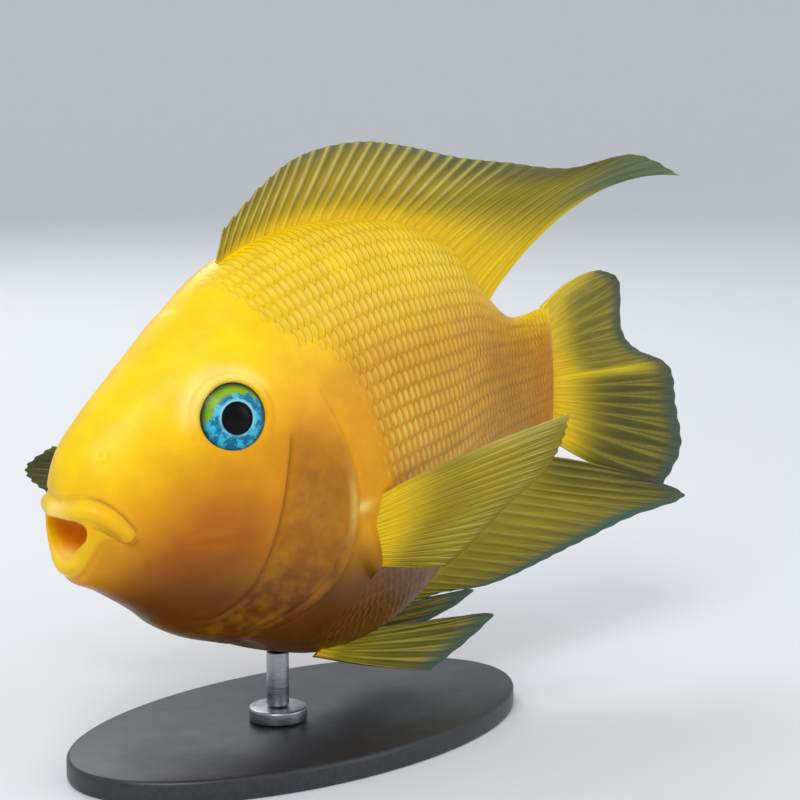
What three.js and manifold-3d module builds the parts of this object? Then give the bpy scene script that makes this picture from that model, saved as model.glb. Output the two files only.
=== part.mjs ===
// Blood parrot cichlid, a still life-size model held on a plain display stand.
// Millimetres, +Z up. The head points to -X and the animal's left side faces -Y.
// The origin is the centre of the underside of the stand's base.
import * as THREE from "three";
import { mergeVertices } from "three/addons/utils/BufferGeometryUtils.js";
import Module from "manifold-3d";

const wasm = await Module();
wasm.setup();

// Driving sizes
const STANDARD_LENGTH = 140; // tip of the snout to the root of the tail fin
const NOSE_DOWN = 3; // degrees the swimming animal tips its nose down
const BALANCE = 47; // percent of the length behind the snout that stands over the origin
const BEND_START = 50; // percent of the length where the swimming bend of the tail begins
const BEND_SIZE = 6.5; // percent of the length that the bend reaches at the fin tips
const GAP = 0.3; // mm between neighbouring pieces
const AXIS_HEIGHT = 70; // the body's long axis above the floor
const BASE = { length: 120, width: 66, height: 5, edge: 1 };
const ROD = { diameter: 5, footDiameter: 13, footHeight: 3 };
const ROD_BEHIND_ORIGIN = -7; // mm along X from the centre of the base

// Places on the animal are in percent of the standard length: s behind the snout,
// z above the long axis, y to the animal's right.
const UNIT = STANDARD_LENGTH / 100;
const LEFT = -1;
const RIGHT = 1;

// Cross-sections from the snout to the tail root:
// [back s, back z, belly s, belly z, half width, share of the height where it is widest]
const SECTIONS = [
  [0.4, -8, 0.4, -8, 0, 0.5],
  [0.7, -1.9, 1.3, -14.4, 4.3, 0.5],
  [2.7, 4.9, 6, -17.4, 7.7, 0.48],
  [7.9, 10.1, 11.9, -21.5, 10.6, 0.46],
  [15, 15.7, 19.3, -27.2, 13.2, 0.46],
  [22.9, 22, 28.4, -30.8, 15.4, 0.46],
  [31, 27.7, 37.9, -34.4, 16.8, 0.46],
  [41.4, 31.3, 47.6, -36.8, 17.1, 0.48],
  [54.3, 32.4, 57.1, -36.4, 16.4, 0.5],
  [67.9, 30.7, 67.9, -32.5, 13.9, 0.5],
  [79.3, 25.7, 77.9, -25, 10, 0.5],
  [87.1, 17.1, 86.4, -16.4, 6.8, 0.5],
  [93.6, 11.8, 93.6, -11.4, 4.6, 0.5],
  [100.7, 12.4, 100.7, -10.9, 2.6, 0.5],
  [103, 13.6, 103, -11.8, 0.9, 0.5],
];
const BODY_ROWS = 34;
const BODY_SIDES = 34;
const RIDGE = 1.8; // 2 makes each section an ellipse, less narrows its back and belly
const HALVINGS = 40; // steps to find a section by its place
const BALL = { around: 12, down: 8 }; // faces of the small round forms
const EYE_FACES = { around: 20, down: 10 };
const ORBIT_FACES = { round: 6, along: 20 };
const BASE_SIDES = 48;
const ROD_SIDES = 24;
const ROLL = { sides: 8, stepsPerPoint: 2, endReach: 0.6, endRadius: 0.7 };

// Thin cuts that part the body, seen from the side: [s, z]
const HEAD_CUT = [
  [26, 45], [33, 22], [38.5, 8], [41.6, 0.4], [43.4, -7], [43.2, -14.8],
  [40.2, -21.7], [34.3, -26.3], [28.5, -29], [25, -45],
];
const TAIL_CUT = [[92.5, 45], [92.5, -45]];
const CUT_SPAN = 60; // sideways reach of a cut, past the body
const JAW_CUT = [[-12, -6], [3.2, -6.3], [4.4, -7.1], [6.2, -8.8], [8, -9.7], [10, -14], [11.3, -30]];

// Mouth: lips as rolls [s, z, y, radius] from the corner to the middle
const UPPER_LIP = [
  [6.1, -7.4, 8.3, 0.9], [4.4, -5.5, 7.3, 1.15], [2.9, -4.2, 5.6, 1.35],
  [1.8, -4.1, 3.5, 1.45], [1.1, -4.5, 1.7, 1.5],
];
const UPPER_LIP_MIDDLE = [0.9, -4.8, 0, 1.5];
const LOWER_LIP = [
  [4.6, -6.9, 7.2, 0.8], [3.4, -7.2, 5.7, 0.9], [2.4, -8.7, 4.5, 0.95],
  [1.8, -10.5, 3.3, 1], [1.3, -12, 1.8, 1.1],
];
const LOWER_LIP_MIDDLE = [1.1, -12.7, 0, 1.2];
// The open mouth is wide under the upper lip and narrow behind the chin
const MOUTH = { s: 1.4, z: -8.2, across: [5.8, 3.3, 4.6], narrow: 0.4, wide: 1.5 };
const LIP_FOLD = { s: 6.8, z: -8.1, y: 8.5, across: [1.5, 1.1, 1] };
const NOSTRIL = { s: 4.2, z: 4.4, y: 7.4, radius: 0.8 };

// Gill cover, seen from the side: the groove in front, the free edge behind the head cut
const GILL_COVER = [
  [26, -26.8], [25.4, -20], [27.6, -13.3], [29.6, -5.8], [31.2, 0.6], [32.2, 4.6],
  [36, 6.8], [46, 6], [50, -8], [48, -24], [36, -30],
];
const GILL_COVER_RISE = 0.5; // mm proud of the body
const GILL_COVER_DEPTH = 1.1; // mm sunk below the body's surface
const GILL_COVER_SPAN = [5, 40]; // sideways reach of the cut, from inside the body to past it

const EYE_PLACE = { s: 23.4, z: 7.1, y: 11.8, radius: 5.6, half: 3, forward: 17, up: 8 };
const ORBIT = { radius: 5.8, tube: 0.8, lift: 0.7 };
const FIN_PAD = { s: 46.6, z: -15.6, y: 14.2, across: [2.6, 6.6, 2.6], lean: -22 };

// Fins: rays fan between these, from first to last. Each has a root, a tip and, where it
// curves, a bow: how far its middle is pulled to one side. All are [s, z, y].
const ROOT_DEPTH = 1.5; // how far a root is sunk into the body
const DORSAL = {
  rays: 24, steps: 7, notch: 0.03,
  keys: [
    { base: 31.4, tip: [33.9, 33.2, 0] },
    { base: 35.7, tip: [42.3, 39.5, 0] },
    { base: 42.9, tip: [50.7, 42.9, 0] },
    { base: 51.4, tip: [62.1, 43.8, 0] },
    { base: 60, tip: [72.1, 42.3, 0] },
    { base: 67.9, tip: [82.9, 39.6, 0] },
    { base: 74.3, tip: [94.9, 37.6, 0], bow: [0, 1, 0] },
    { base: 79.3, tip: [108.6, 35.5, 0], bow: [0, 3, 0] },
    { base: 83.6, tip: [124.5, 36.5, 1], bow: [0, 4.5, 0] },
    { base: 88.2, tip: [134.3, 31.9, 0], bow: [-1, 12.8, 0] },
  ],
};
const ANAL = {
  rays: 16, steps: 7, notch: 0.03,
  keys: [
    { base: 62.9, tip: [68, -34.4, 0] },
    { base: 65.7, tip: [75.7, -33.4, 0] },
    { base: 70, tip: [86.4, -34.2, 0] },
    { base: 74.6, tip: [97.1, -32.7, -0.7] },
    { base: 79.2, tip: [107.1, -30.6, -1.5] },
    { base: 83.4, tip: [118.6, -27.8, -2.3] },
    { base: 87, tip: [131.4, -26, -3], bow: [0, -1, 0] },
    { base: 90.6, tip: [120.6, -20.7, -3.4], bow: [0, 1.9, -0.4] },
  ],
};
const CAUDAL_ROOT = 101.5;
const CAUDAL = {
  rays: 17, steps: 7, notch: 0.03,
  keys: [
    { root: [CAUDAL_ROOT, 12.2, 0], tip: [125, 15.2, 9.4], bow: [-2, 3, -1.6] },
    { root: [CAUDAL_ROOT, 8, 0], tip: [131.3, 12.4, 12.2] },
    { root: [CAUDAL_ROOT, 4.8, 0], tip: [129.6, 4.4, 9.5] },
    { root: [CAUDAL_ROOT, 2, 0], tip: [130.6, 0.2, 6.8] },
    { root: [CAUDAL_ROOT, -0.8, 0], tip: [134.6, -3.4, 3.6] },
    { root: [CAUDAL_ROOT, -3.6, 0], tip: [135.2, -10, 2.2] },
    { root: [CAUDAL_ROOT, -6.4, 0], tip: [134.8, -17.8, 1.2] },
    { root: [CAUDAL_ROOT, -10.4, 0], tip: [129.5, -23.9, 0.4], bow: [-1, -3, 0] },
  ],
};
// The paired fins give y outward from the middle; the two sides are held differently
const PECTORAL_LEFT = {
  rays: 13, steps: 6, notch: 0.02,
  keys: [
    { root: [44.8, -10.4, 14], tip: [77.1, 0.9, 29.4], bow: [0, 2, 1] },
    { root: [45.4, -12.4, 14], tip: [74.6, -2.8, 30.2], bow: [0, 1, 1.5] },
    { root: [46, -14.4, 14], tip: [71, -7.4, 29.6], bow: [0, 0.4, 2] },
    { root: [46.6, -16.2, 14], tip: [65, -11.9, 27.4], bow: [0, 0, 2] },
    { root: [47.3, -18, 13.8], tip: [59.8, -17, 25], bow: [0, 0, 2] },
    { root: [48, -20, 13.2], tip: [56.6, -21, 21.6], bow: [0, 0, 1] },
  ],
};
const PECTORAL_RIGHT = {
  rays: 13, steps: 6, notch: 0.02,
  keys: [
    { root: [44.8, -10.4, 14], tip: [26.6, -4.2, 38.4], bow: [4, 0, 3] },
    { root: [45.4, -12.4, 14], tip: [24, -8, 42.9], bow: [5, 0, 3] },
    { root: [46, -14.4, 14], tip: [25.3, -11.4, 40.7], bow: [5, 0, 3] },
    { root: [46.6, -16.2, 14], tip: [28.5, -14.4, 35.5], bow: [5, 0, 3] },
    { root: [47.3, -18, 13.8], tip: [34.6, -17.6, 28.6], bow: [5, 0, 3] },
    { root: [48, -20, 13.2], tip: [43.6, -20, 22.4], bow: [3, 0, 1] },
  ],
};
const PELVIC_LEFT = {
  rays: 7, steps: 6, notch: 0.04,
  keys: [
    { root: [43.8, -35.6, 4.6], tip: [64.6, -42.2, 9.1], bow: [0, -1, 0] },
    { root: [44.7, -35.2, 4.4], tip: [69.8, -40.7, 8.9], bow: [0, -1, 0] },
    { root: [45.6, -34.7, 4.2], tip: [75.3, -38.7, 8.7], bow: [0, -1, 0] },
    { root: [46.6, -34.1, 4], tip: [80.6, -36.6, 7.8], bow: [0, -1, 0] },
    { root: [47.6, -33.4, 3.8], tip: [75.5, -35.9, 6.6], bow: [0, -1, 0] },
    { root: [48.6, -32.6, 3.6], tip: [66, -35.2, 5.2], bow: [0, -1, 0] },
  ],
};
const PELVIC_RIGHT = {
  rays: 7, steps: 6, notch: 0.04,
  keys: [
    { root: [43.8, -35.6, 4.6], tip: [65.6, -42, 7.4], bow: [0, -1, 0] },
    { root: [44.7, -35.2, 4.4], tip: [73, -40.4, 5.6], bow: [0, -1, 0] },
    { root: [45.6, -34.7, 4.2], tip: [82, -38, 3.8], bow: [0, -1, 0] },
    { root: [46.6, -34.1, 4], tip: [86.3, -35.4, 2.7], bow: [0, -1, 0] },
    { root: [47.6, -33.4, 3.8], tip: [79.1, -34.6, 2.4], bow: [0, -1, 0] },
    { root: [48.6, -32.6, 3.6], tip: [65.3, -34.2, 2.8], bow: [0, -1, 0] },
  ],
};
// Full thickness of a fin (mm) at its root and at its tips, in a ray and between two rays
const RAY = { root: 1.7, tip: 0.7 };
const WEB = { root: 1, tip: 0.5 };

const colour = (r, g, b) => new THREE.Color(r / 255, g / 255, b / 255);
const SKIN = { color: colour(250, 195, 10), roughness: 0.35, metalness: 0 };
const BELLY_SKIN = { color: colour(225, 150, 15), roughness: 0.35, metalness: 0 };
const FIN = { color: colour(190, 170, 30), roughness: 0.45, metalness: 0 };
const EYE = { color: colour(40, 140, 150), roughness: 0.1, metalness: 0 };
const DARK_METAL = { color: colour(35, 36, 38), roughness: 0.5, metalness: 0.6 };
const STEEL = { color: colour(170, 172, 175), roughness: 0.35, metalness: 1 };

// Catmull-Rom blend of the rows of a table, t from 0 to the last row
function blend(rows, t, before = rows[0]) {
  const i = Math.min(Math.floor(t), rows.length - 2);
  const f = t - i;
  const a = i > 0 ? rows[i - 1] : before;
  const b = rows[i];
  const c = rows[i + 1];
  const d = rows[Math.min(i + 2, rows.length - 1)];
  return b.map((_, k) => {
    const slopeIn = (c[k] - a[k]) / 2;
    const slopeOut = (d[k] - b[k]) / 2;
    const h = 2 * (b[k] - c[k]) + slopeIn + slopeOut;
    return b[k] + f * (slopeIn + f * (3 * (c[k] - b[k]) - 2 * slopeIn - slopeOut + f * h));
  });
}

// Sideways swing of the body at s, toward the animal's left
function bend(s) {
  const past = Math.max(0, s - BEND_START) / 100;
  return -BEND_SIZE * (past / 0.86) ** 2;
}

function place(s, z, y = 0) {
  return new THREE.Vector3((s - BALANCE) * UNIT, (y + bend(s)) * UNIT, z * UNIT);
}

// A closed surface over rings with equal numbers of points, with a flat fan on each end
function loft(rings) {
  const count = rings[1].length;
  const points = [];
  const index = [];
  const starts = rings.map((ring) => {
    points.push(...ring);
    return points.length - ring.length;
  });
  const capEnd = (ring, start, flip) => {
    let pole = start;
    if (ring.length > 1) {
      const middle = ring.reduce((sum, p) => sum.add(p), new THREE.Vector3());
      points.push(middle.divideScalar(ring.length));
      pole = points.length - 1;
      for (let k = 0; k < count; k++) {
        const pair = [start + k, start + ((k + 1) % count)];
        index.push(pole, ...(flip ? pair : pair.reverse()));
      }
    }
  };
  for (let r = 0; r < rings.length - 1; r++) {
    for (let k = 0; k < count; k++) {
      const next = (k + 1) % count;
      const [a, b] = [rings[r], rings[r + 1]];
      if (a.length > 1) {
        const far = b.length > 1 ? starts[r + 1] + next : starts[r + 1];
        index.push(starts[r] + k, starts[r] + next, far);
      }
      if (b.length > 1) {
        const near = a.length > 1 ? starts[r] + k : starts[r];
        index.push(near, starts[r + 1] + next, starts[r + 1] + k);
      }
    }
  }
  capEnd(rings[0], starts[0], false);
  capEnd(rings.at(-1), starts.at(-1), true);
  const geometry = new THREE.BufferGeometry().setFromPoints(points);
  geometry.setIndex(index);
  return geometry;
}

// A geometry as a solid for the joins and cuts
function solid(geometry) {
  let bare = geometry.clone();
  bare.deleteAttribute("normal");
  bare.deleteAttribute("uv");
  bare = mergeVertices(bare, 1e-4);
  const made = new wasm.Manifold(
    new wasm.Mesh({
      numProp: 3,
      vertProperties: new Float32Array(bare.attributes.position.array),
      triVerts: new Uint32Array(bare.index.array),
    }),
  );
  if (made.volume() <= 0) throw new Error("a surface faces inward");
  return made;
}

function geometryOf(made) {
  const mesh = made.getMesh();
  const geometry = new THREE.BufferGeometry();
  geometry.setAttribute("position", new THREE.BufferAttribute(mesh.vertProperties, 3));
  geometry.setIndex(new THREE.BufferAttribute(mesh.triVerts, 1));
  return geometry;
}

function largest(made) {
  return made.decompose().sort((a, b) => b.volume() - a.volume())[0];
}

function join(pieces) {
  return pieces.reduce((sum, piece) => sum.add(piece));
}

// The whole body from snout to tail root, its surface moved out by grow (mm)
function bodyGeometry(grow = 0) {
  const [, first] = SECTIONS;
  const mirrored = [first[2], first[3], first[0], first[1], -first[4], first[5]];
  const rings = [];
  for (let r = 0; r <= BODY_ROWS; r++) {
    const t = ((SECTIONS.length - 1) * r) / BODY_ROWS;
    const [backS, backZ, bellyS, bellyZ, half, level] = blend(SECTIONS, t, mirrored);
    const ring = [];
    for (let k = 0; k < (r === 0 ? 1 : BODY_SIDES); k++) {
      const angle = (2 * Math.PI * k) / BODY_SIDES;
      const up = Math.cos(angle);
      const reach = Math.sign(up) * Math.abs(up) ** (2 / RIDGE);
      const share = level + reach * (up > 0 ? 1 - level : level);
      const s = THREE.MathUtils.lerp(bellyS, backS, share);
      const z = THREE.MathUtils.lerp(bellyZ, backZ, share);
      ring.push(place(s, z, -half * Math.sin(angle)));
    }
    rings.push(ring);
  }
  const geometry = loft(rings);
  geometry.computeVertexNormals();
  const { position, normal } = geometry.attributes;
  for (let i = 0; i < position.count; i++) {
    const point = new THREE.Vector3().fromBufferAttribute(position, i);
    point.addScaledVector(new THREE.Vector3().fromBufferAttribute(normal, i), grow);
    position.setXYZ(i, point.x, point.y, point.z);
  }
  return geometry;
}

function grownBody(grow) {
  return solid(bodyGeometry(grow));
}

// Height of the back (column 0) or belly (column 2) at s
function midline(s, column) {
  let low = 0;
  let high = SECTIONS.length - 1;
  for (let i = 0; i < HALVINGS; i++) {
    const middle = (low + high) / 2;
    if (blend(SECTIONS, middle)[column] < s) low = middle;
    else high = middle;
  }
  return blend(SECTIONS, low)[column + 1];
}

// A solid of one outline [s, z] seen from the side, between two sideways places
function prism(outline, fromY, toY) {
  const shape = new THREE.Shape(
    outline.map(([s, z]) => new THREE.Vector2((s - BALANCE) * UNIT, z * UNIT)),
  );
  const depth = (toY - fromY) * UNIT;
  const made = new THREE.ExtrudeGeometry(shape, { depth, bevelEnabled: false });
  made.rotateX(Math.PI / 2).translate(0, toY * UNIT, 0);
  return solid(made);
}

// The line moved to its left by offset (mm), seen with s to the right and z up
function moved(line, offset) {
  return line.map((point, i) => {
    const [a, b] = [line[Math.max(i - 1, 0)], line[Math.min(i + 1, line.length - 1)]];
    const length = Math.hypot(b[0] - a[0], b[1] - a[1]);
    const step = offset / UNIT / length;
    return [point[0] - (b[1] - a[1]) * step, point[1] + (b[0] - a[0]) * step];
  });
}

function thinCut(line) {
  return prism([...moved(line, GAP / 2), ...moved(line, -GAP / 2).reverse()], -CUT_SPAN, CUT_SPAN);
}

// A roll along points [s, z, y, radius] with round ends
function roll(points) {
  const { sides, stepsPerPoint, endReach, endRadius } = ROLL;
  const rows = points.map(([s, z, y, radius]) => [...place(s, z, y).toArray(), radius * UNIT]);
  const steps = (rows.length - 1) * stepsPerPoint;
  const path = [];
  for (let i = 0; i <= steps; i++) path.push(blend(rows, (i * (rows.length - 1)) / steps));
  const at = (i) => new THREE.Vector3(...path[Math.min(Math.max(i, 0), steps)].slice(0, 3));
  const up = new THREE.Vector3(0, 0, 1);
  const rings = [];
  const ringAt = (centre, along, radius) => {
    const across = new THREE.Vector3().crossVectors(along, up).normalize();
    const over = new THREE.Vector3().crossVectors(across, along);
    return Array.from({ length: sides }, (_, k) => {
      const angle = (2 * Math.PI * k) / sides;
      return centre
        .clone()
        .addScaledVector(across, radius * Math.cos(angle))
        .addScaledVector(over, -radius * Math.sin(angle));
    });
  };
  for (let i = 0; i <= steps; i++) {
    const along = at(i + 1).sub(at(i - 1)).normalize();
    const radius = path[i][3];
    if (i === 0) {
      rings.push([at(0).addScaledVector(along, -radius)]);
      const inner = at(0).addScaledVector(along, -radius * endReach);
      rings.push(ringAt(inner, along, radius * endRadius));
    }
    rings.push(ringAt(at(i), along, radius));
    if (i === steps) {
      const outer = at(i).addScaledVector(along, radius * endReach);
      rings.push(ringAt(outer, along, radius * endRadius));
      rings.push([at(i).addScaledVector(along, radius)]);
    }
  }
  return solid(loft(rings));
}

function lip(side, middle) {
  const left = side.map(([s, z, y, radius]) => [s, z, -y, radius]);
  return roll([...left, middle, ...side.toReversed()]);
}

// An ellipsoid at [s, z, y] with radii (mm) along s, y and z, turned as its axis asks
function ellipsoid({ s, z, y = 0 }, radii, turn = new THREE.Quaternion()) {
  const made = new THREE.SphereGeometry(1, BALL.around, BALL.down);
  made.scale(radii[0], radii[1], radii[2]).applyQuaternion(turn);
  const { x, y: sideways, z: height } = place(s, z, y);
  return made.translate(x, sideways, height);
}

function blob({ s, z, y, across }, side) {
  const [alongS, alongZ, alongY] = across.map((radius) => radius * UNIT);
  return solid(ellipsoid({ s, z, y: y * side }, [alongS, alongY, alongZ]));
}

// The hollow of the open mouth: a ball whose width grows from narrow below to wide above
function mouthHollow() {
  const { s, z, across, narrow, wide } = MOUTH;
  const [alongS, alongZ, alongY] = across.map((radius) => radius * UNIT);
  const made = new THREE.SphereGeometry(1, BALL.around, BALL.down);
  const { position } = made.attributes;
  for (let i = 0; i < position.count; i++) {
    const share = (position.getZ(i) + 1) / 2;
    position.setY(i, position.getY(i) * THREE.MathUtils.lerp(narrow, wide, share));
  }
  made.scale(alongS, alongY, alongZ);
  return solid(made.translate(...place(s, z).toArray()));
}

function eyeTurn(side) {
  const forward = THREE.MathUtils.degToRad(EYE_PLACE.forward);
  const up = THREE.MathUtils.degToRad(EYE_PLACE.up);
  const axis = new THREE.Vector3(
    -Math.sin(forward) * Math.cos(up),
    side * Math.cos(forward) * Math.cos(up),
    Math.sin(up),
  );
  return new THREE.Quaternion().setFromUnitVectors(new THREE.Vector3(0, 0, 1), axis);
}

function eyeGeometry(side, grow = 0) {
  const radius = EYE_PLACE.radius * UNIT + grow;
  const half = EYE_PLACE.half * UNIT + grow;
  const { around, down } = EYE_FACES;
  const made = new THREE.SphereGeometry(1, around, down).rotateX(Math.PI / 2);
  made.scale(radius, radius, half).applyQuaternion(eyeTurn(side));
  return made.translate(...place(EYE_PLACE.s, EYE_PLACE.z, EYE_PLACE.y * side).toArray());
}

// The raised rim of the eye socket
function orbit(side) {
  const { round, along } = ORBIT_FACES;
  const made = new THREE.TorusGeometry(ORBIT.radius * UNIT, ORBIT.tube * UNIT, round, along);
  made.translate(0, 0, ORBIT.lift * UNIT).applyQuaternion(eyeTurn(side));
  made.translate(...place(EYE_PLACE.s, EYE_PLACE.z, EYE_PLACE.y * side).toArray());
  return solid(made);
}

// The fleshy root of a pectoral fin
function finPad(side, grow = 0) {
  const [alongS, alongZ, alongY] = FIN_PAD.across.map((radius) => radius * UNIT + grow);
  const turn = new THREE.Quaternion().setFromAxisAngle(
    new THREE.Vector3(0, 1, 0),
    THREE.MathUtils.degToRad(FIN_PAD.lean),
  );
  const { s, z, y } = FIN_PAD;
  return solid(ellipsoid({ s, z, y: y * side }, [alongS, alongY, alongZ], turn));
}

// A fin as one thin slab: its rays stand as ridges on both faces, split into like triangles
function fin({ rays, steps, notch, keys }, side = 1) {
  const rows = keys.map(({ root, tip, bow = [0, 0, 0] }) => {
    const middle = root.map((value, i) => (value + tip[i]) / 2 + bow[i]);
    return [root, middle, tip].flatMap(([s, z, y]) => place(s, z, y * side).toArray());
  });
  const columns = 2 * rays - 1;
  const curves = Array.from({ length: columns }, (_, k) => {
    const row = blend(rows, (k * (rows.length - 1)) / (columns - 1));
    const [root, middle, tip] = [0, 3, 6].map((i) => new THREE.Vector3(...row.slice(i, i + 3)));
    return new THREE.QuadraticBezierCurve3(root, middle, tip);
  });
  const point = (i, k) => {
    const reach = k % 2 === 1 ? 1 - notch : 1;
    return curves[k].getPoint((i / steps) * reach);
  };
  const faces = [[], []];
  for (let i = 0; i <= steps; i++) {
    for (let k = 0; k < columns; k++) {
      const { root, tip } = k % 2 === 0 ? RAY : WEB;
      const half = THREE.MathUtils.lerp(root, tip, i / steps) / 2;
      const over = point(i, Math.min(k + 1, columns - 1)).sub(point(i, Math.max(k - 1, 0)));
      const along = point(Math.min(i + 1, steps), k).sub(point(Math.max(i - 1, 0), k));
      const normal = over.cross(along).normalize();
      faces[0].push(point(i, k).addScaledVector(normal, half));
      faces[1].push(point(i, k).addScaledVector(normal, -half));
    }
  }
  const index = [];
  const other = (steps + 1) * columns;
  const at = (i, k) => i * columns + k;
  const triangle = (a, b, c) => {
    index.push(a, b, c, a + other, c + other, b + other);
  };
  const rim = (a, b) => {
    index.push(b, a, a + other, b, a + other, b + other);
  };
  for (let i = 0; i < steps; i++) {
    for (let k = 0; k < columns - 1; k++) {
      triangle(at(i, k), at(i, k + 1), at(i + 1, k + 1));
      triangle(at(i, k), at(i + 1, k + 1), at(i + 1, k));
    }
    rim(at(i, columns - 1), at(i + 1, columns - 1));
    rim(at(i + 1, 0), at(i, 0));
  }
  for (let k = 0; k < columns - 1; k++) {
    rim(at(0, k), at(0, k + 1));
    rim(at(steps, k + 1), at(steps, k));
  }
  const made = new THREE.BufferGeometry().setFromPoints([...faces[0], ...faces[1]]);
  made.setIndex(index);
  return solid(made);
}

// Fills in the roots of a fin that stands on the back (column 0) or the belly (column 2)
function onMidline(shape, column) {
  const sink = column === 0 ? -ROOT_DEPTH : ROOT_DEPTH;
  const keys = shape.keys.map(({ base, tip, bow }) => {
    return { root: [base, midline(base, column) + sink, 0], tip, bow };
  });
  return { ...shape, keys };
}

function mesh(name, made, look) {
  const piece = new THREE.Mesh(geometryOf(made), new THREE.MeshStandardMaterial(look));
  piece.name = name;
  return piece;
}

// The body with its lips, eye rims and fin roots, parted by thin cuts
function bodyParts() {
  let whole = join([
    grownBody(0),
    lip(UPPER_LIP, UPPER_LIP_MIDDLE),
    lip(LOWER_LIP, LOWER_LIP_MIDDLE),
    ...[LEFT, RIGHT].flatMap((side) => [orbit(side), blob(LIP_FOLD, side), finPad(side)]),
  ]);
  whole = whole.subtract(mouthHollow());
  for (const cut of [HEAD_CUT, TAIL_CUT, JAW_CUT]) whole = whole.subtract(thinCut(cut));
  const pieces = whole.decompose().sort((a, b) => b.volume() - a.volume());
  const [trunk, head, ...small] = pieces;
  const [first, second] = small;
  return { trunk, head, tailStem: first, lowerJaw: second };
}

function sideSpan(side) {
  const [near, far] = GILL_COVER_SPAN;
  return side === LEFT ? [-far, -near] : [near, far];
}

function gillCover(side) {
  const outer = grownBody(GILL_COVER_RISE);
  const inner = grownBody(-GILL_COVER_DEPTH);
  const region = prism(GILL_COVER, ...sideSpan(side));
  return largest(outer.subtract(inner).intersect(region).subtract(thinCut(HEAD_CUT)));
}

function gillPocket(side) {
  const outline = moved(GILL_COVER, GAP);
  const region = prism(outline, ...sideSpan(side));
  return region.subtract(grownBody(-GILL_COVER_DEPTH - GAP));
}

const parts = bodyParts();
let { head } = parts;
for (const side of [LEFT, RIGHT]) {
  head = head.subtract(solid(eyeGeometry(side, GAP)));
  head = head.subtract(gillPocket(side));
  const { s, z, y, radius } = NOSTRIL;
  head = head.subtract(blob({ s, z, y, across: [radius, radius, radius] }, side));
}
const grown = grownBody(GAP);
const clear = (made) => {
  let cut = made.subtract(grown);
  for (const side of [LEFT, RIGHT]) cut = cut.subtract(finPad(side, GAP));
  return largest(cut);
};

const fish = new THREE.Group();
fish.position.z = AXIS_HEIGHT;
fish.rotation.y = -THREE.MathUtils.degToRad(NOSE_DOWN);
fish.updateMatrix();
fish.add(
  mesh("head", largest(head), SKIN),
  mesh("lower_jaw", parts.lowerJaw, SKIN),
  mesh("gill_cover_left", gillCover(LEFT), BELLY_SKIN),
  mesh("gill_cover_right", gillCover(RIGHT), BELLY_SKIN),
  mesh("trunk", parts.trunk, SKIN),
  mesh("tail_stem", parts.tailStem, SKIN),
  mesh("eye_left", solid(eyeGeometry(LEFT)), EYE),
  mesh("eye_right", solid(eyeGeometry(RIGHT)), EYE),
  mesh("dorsal_fin", clear(fin(onMidline(DORSAL, 0))), FIN),
  mesh("anal_fin", clear(fin(onMidline(ANAL, 2))), FIN),
  mesh("caudal_fin", clear(fin(CAUDAL)), FIN),
  mesh("pectoral_fin_left", clear(fin(PECTORAL_LEFT, LEFT)), FIN),
  mesh("pectoral_fin_right", clear(fin(PECTORAL_RIGHT, RIGHT)), FIN),
  mesh("pelvic_fin_left", clear(fin(PELVIC_LEFT, LEFT)), FIN),
  mesh("pelvic_fin_right", clear(fin(PELVIC_RIGHT, RIGHT)), FIN),
);

// An oval plate with a small bevel round its top
function standBase() {
  const { length, width, height, edge } = BASE;
  const rings = [
    [0, 0],
    [0, height - edge],
    [edge, height],
  ].map(([inset, z]) => {
    return Array.from({ length: BASE_SIDES }, (_, k) => {
      const angle = (2 * Math.PI * k) / BASE_SIDES;
      return new THREE.Vector3(
        (length / 2 - inset) * Math.cos(angle),
        (width / 2 - inset) * Math.sin(angle),
        z,
      );
    });
  });
  return solid(loft(rings));
}

function upright(diameter, from, to) {
  const made = new THREE.CylinderGeometry(diameter / 2, diameter / 2, to - from, ROD_SIDES);
  made.rotateX(Math.PI / 2).translate(ROD_BEHIND_ORIGIN, 0, (from + to) / 2);
  return solid(made);
}

// The rod stands on its foot and ends just under the belly
function standRod() {
  const from = BASE.height + ROD.footHeight + 2 * GAP;
  const rod = upright(ROD.diameter, from, AXIS_HEIGHT / 2);
  return largest(rod.subtract(solid(bodyGeometry(GAP).applyMatrix4(fish.matrix))));
}

function standFoot() {
  const from = BASE.height + GAP;
  return upright(ROD.footDiameter, from, from + ROD.footHeight);
}

const model = new THREE.Group();
model.add(
  fish,
  mesh("stand_base", standBase(), DARK_METAL),
  mesh("stand_rod", standRod(), STEEL),
  mesh("stand_foot", standFoot(), STEEL),
);
export default model;
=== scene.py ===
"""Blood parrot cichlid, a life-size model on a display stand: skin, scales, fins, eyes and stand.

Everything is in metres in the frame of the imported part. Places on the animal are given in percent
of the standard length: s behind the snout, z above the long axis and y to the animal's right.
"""

import math

import bpy
import numpy as np
from bpy.props import FloatProperty, FloatVectorProperty, IntProperty, PointerProperty
from mathutils import Matrix, Vector
from mathutils.bvhtree import BVHTree


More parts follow.
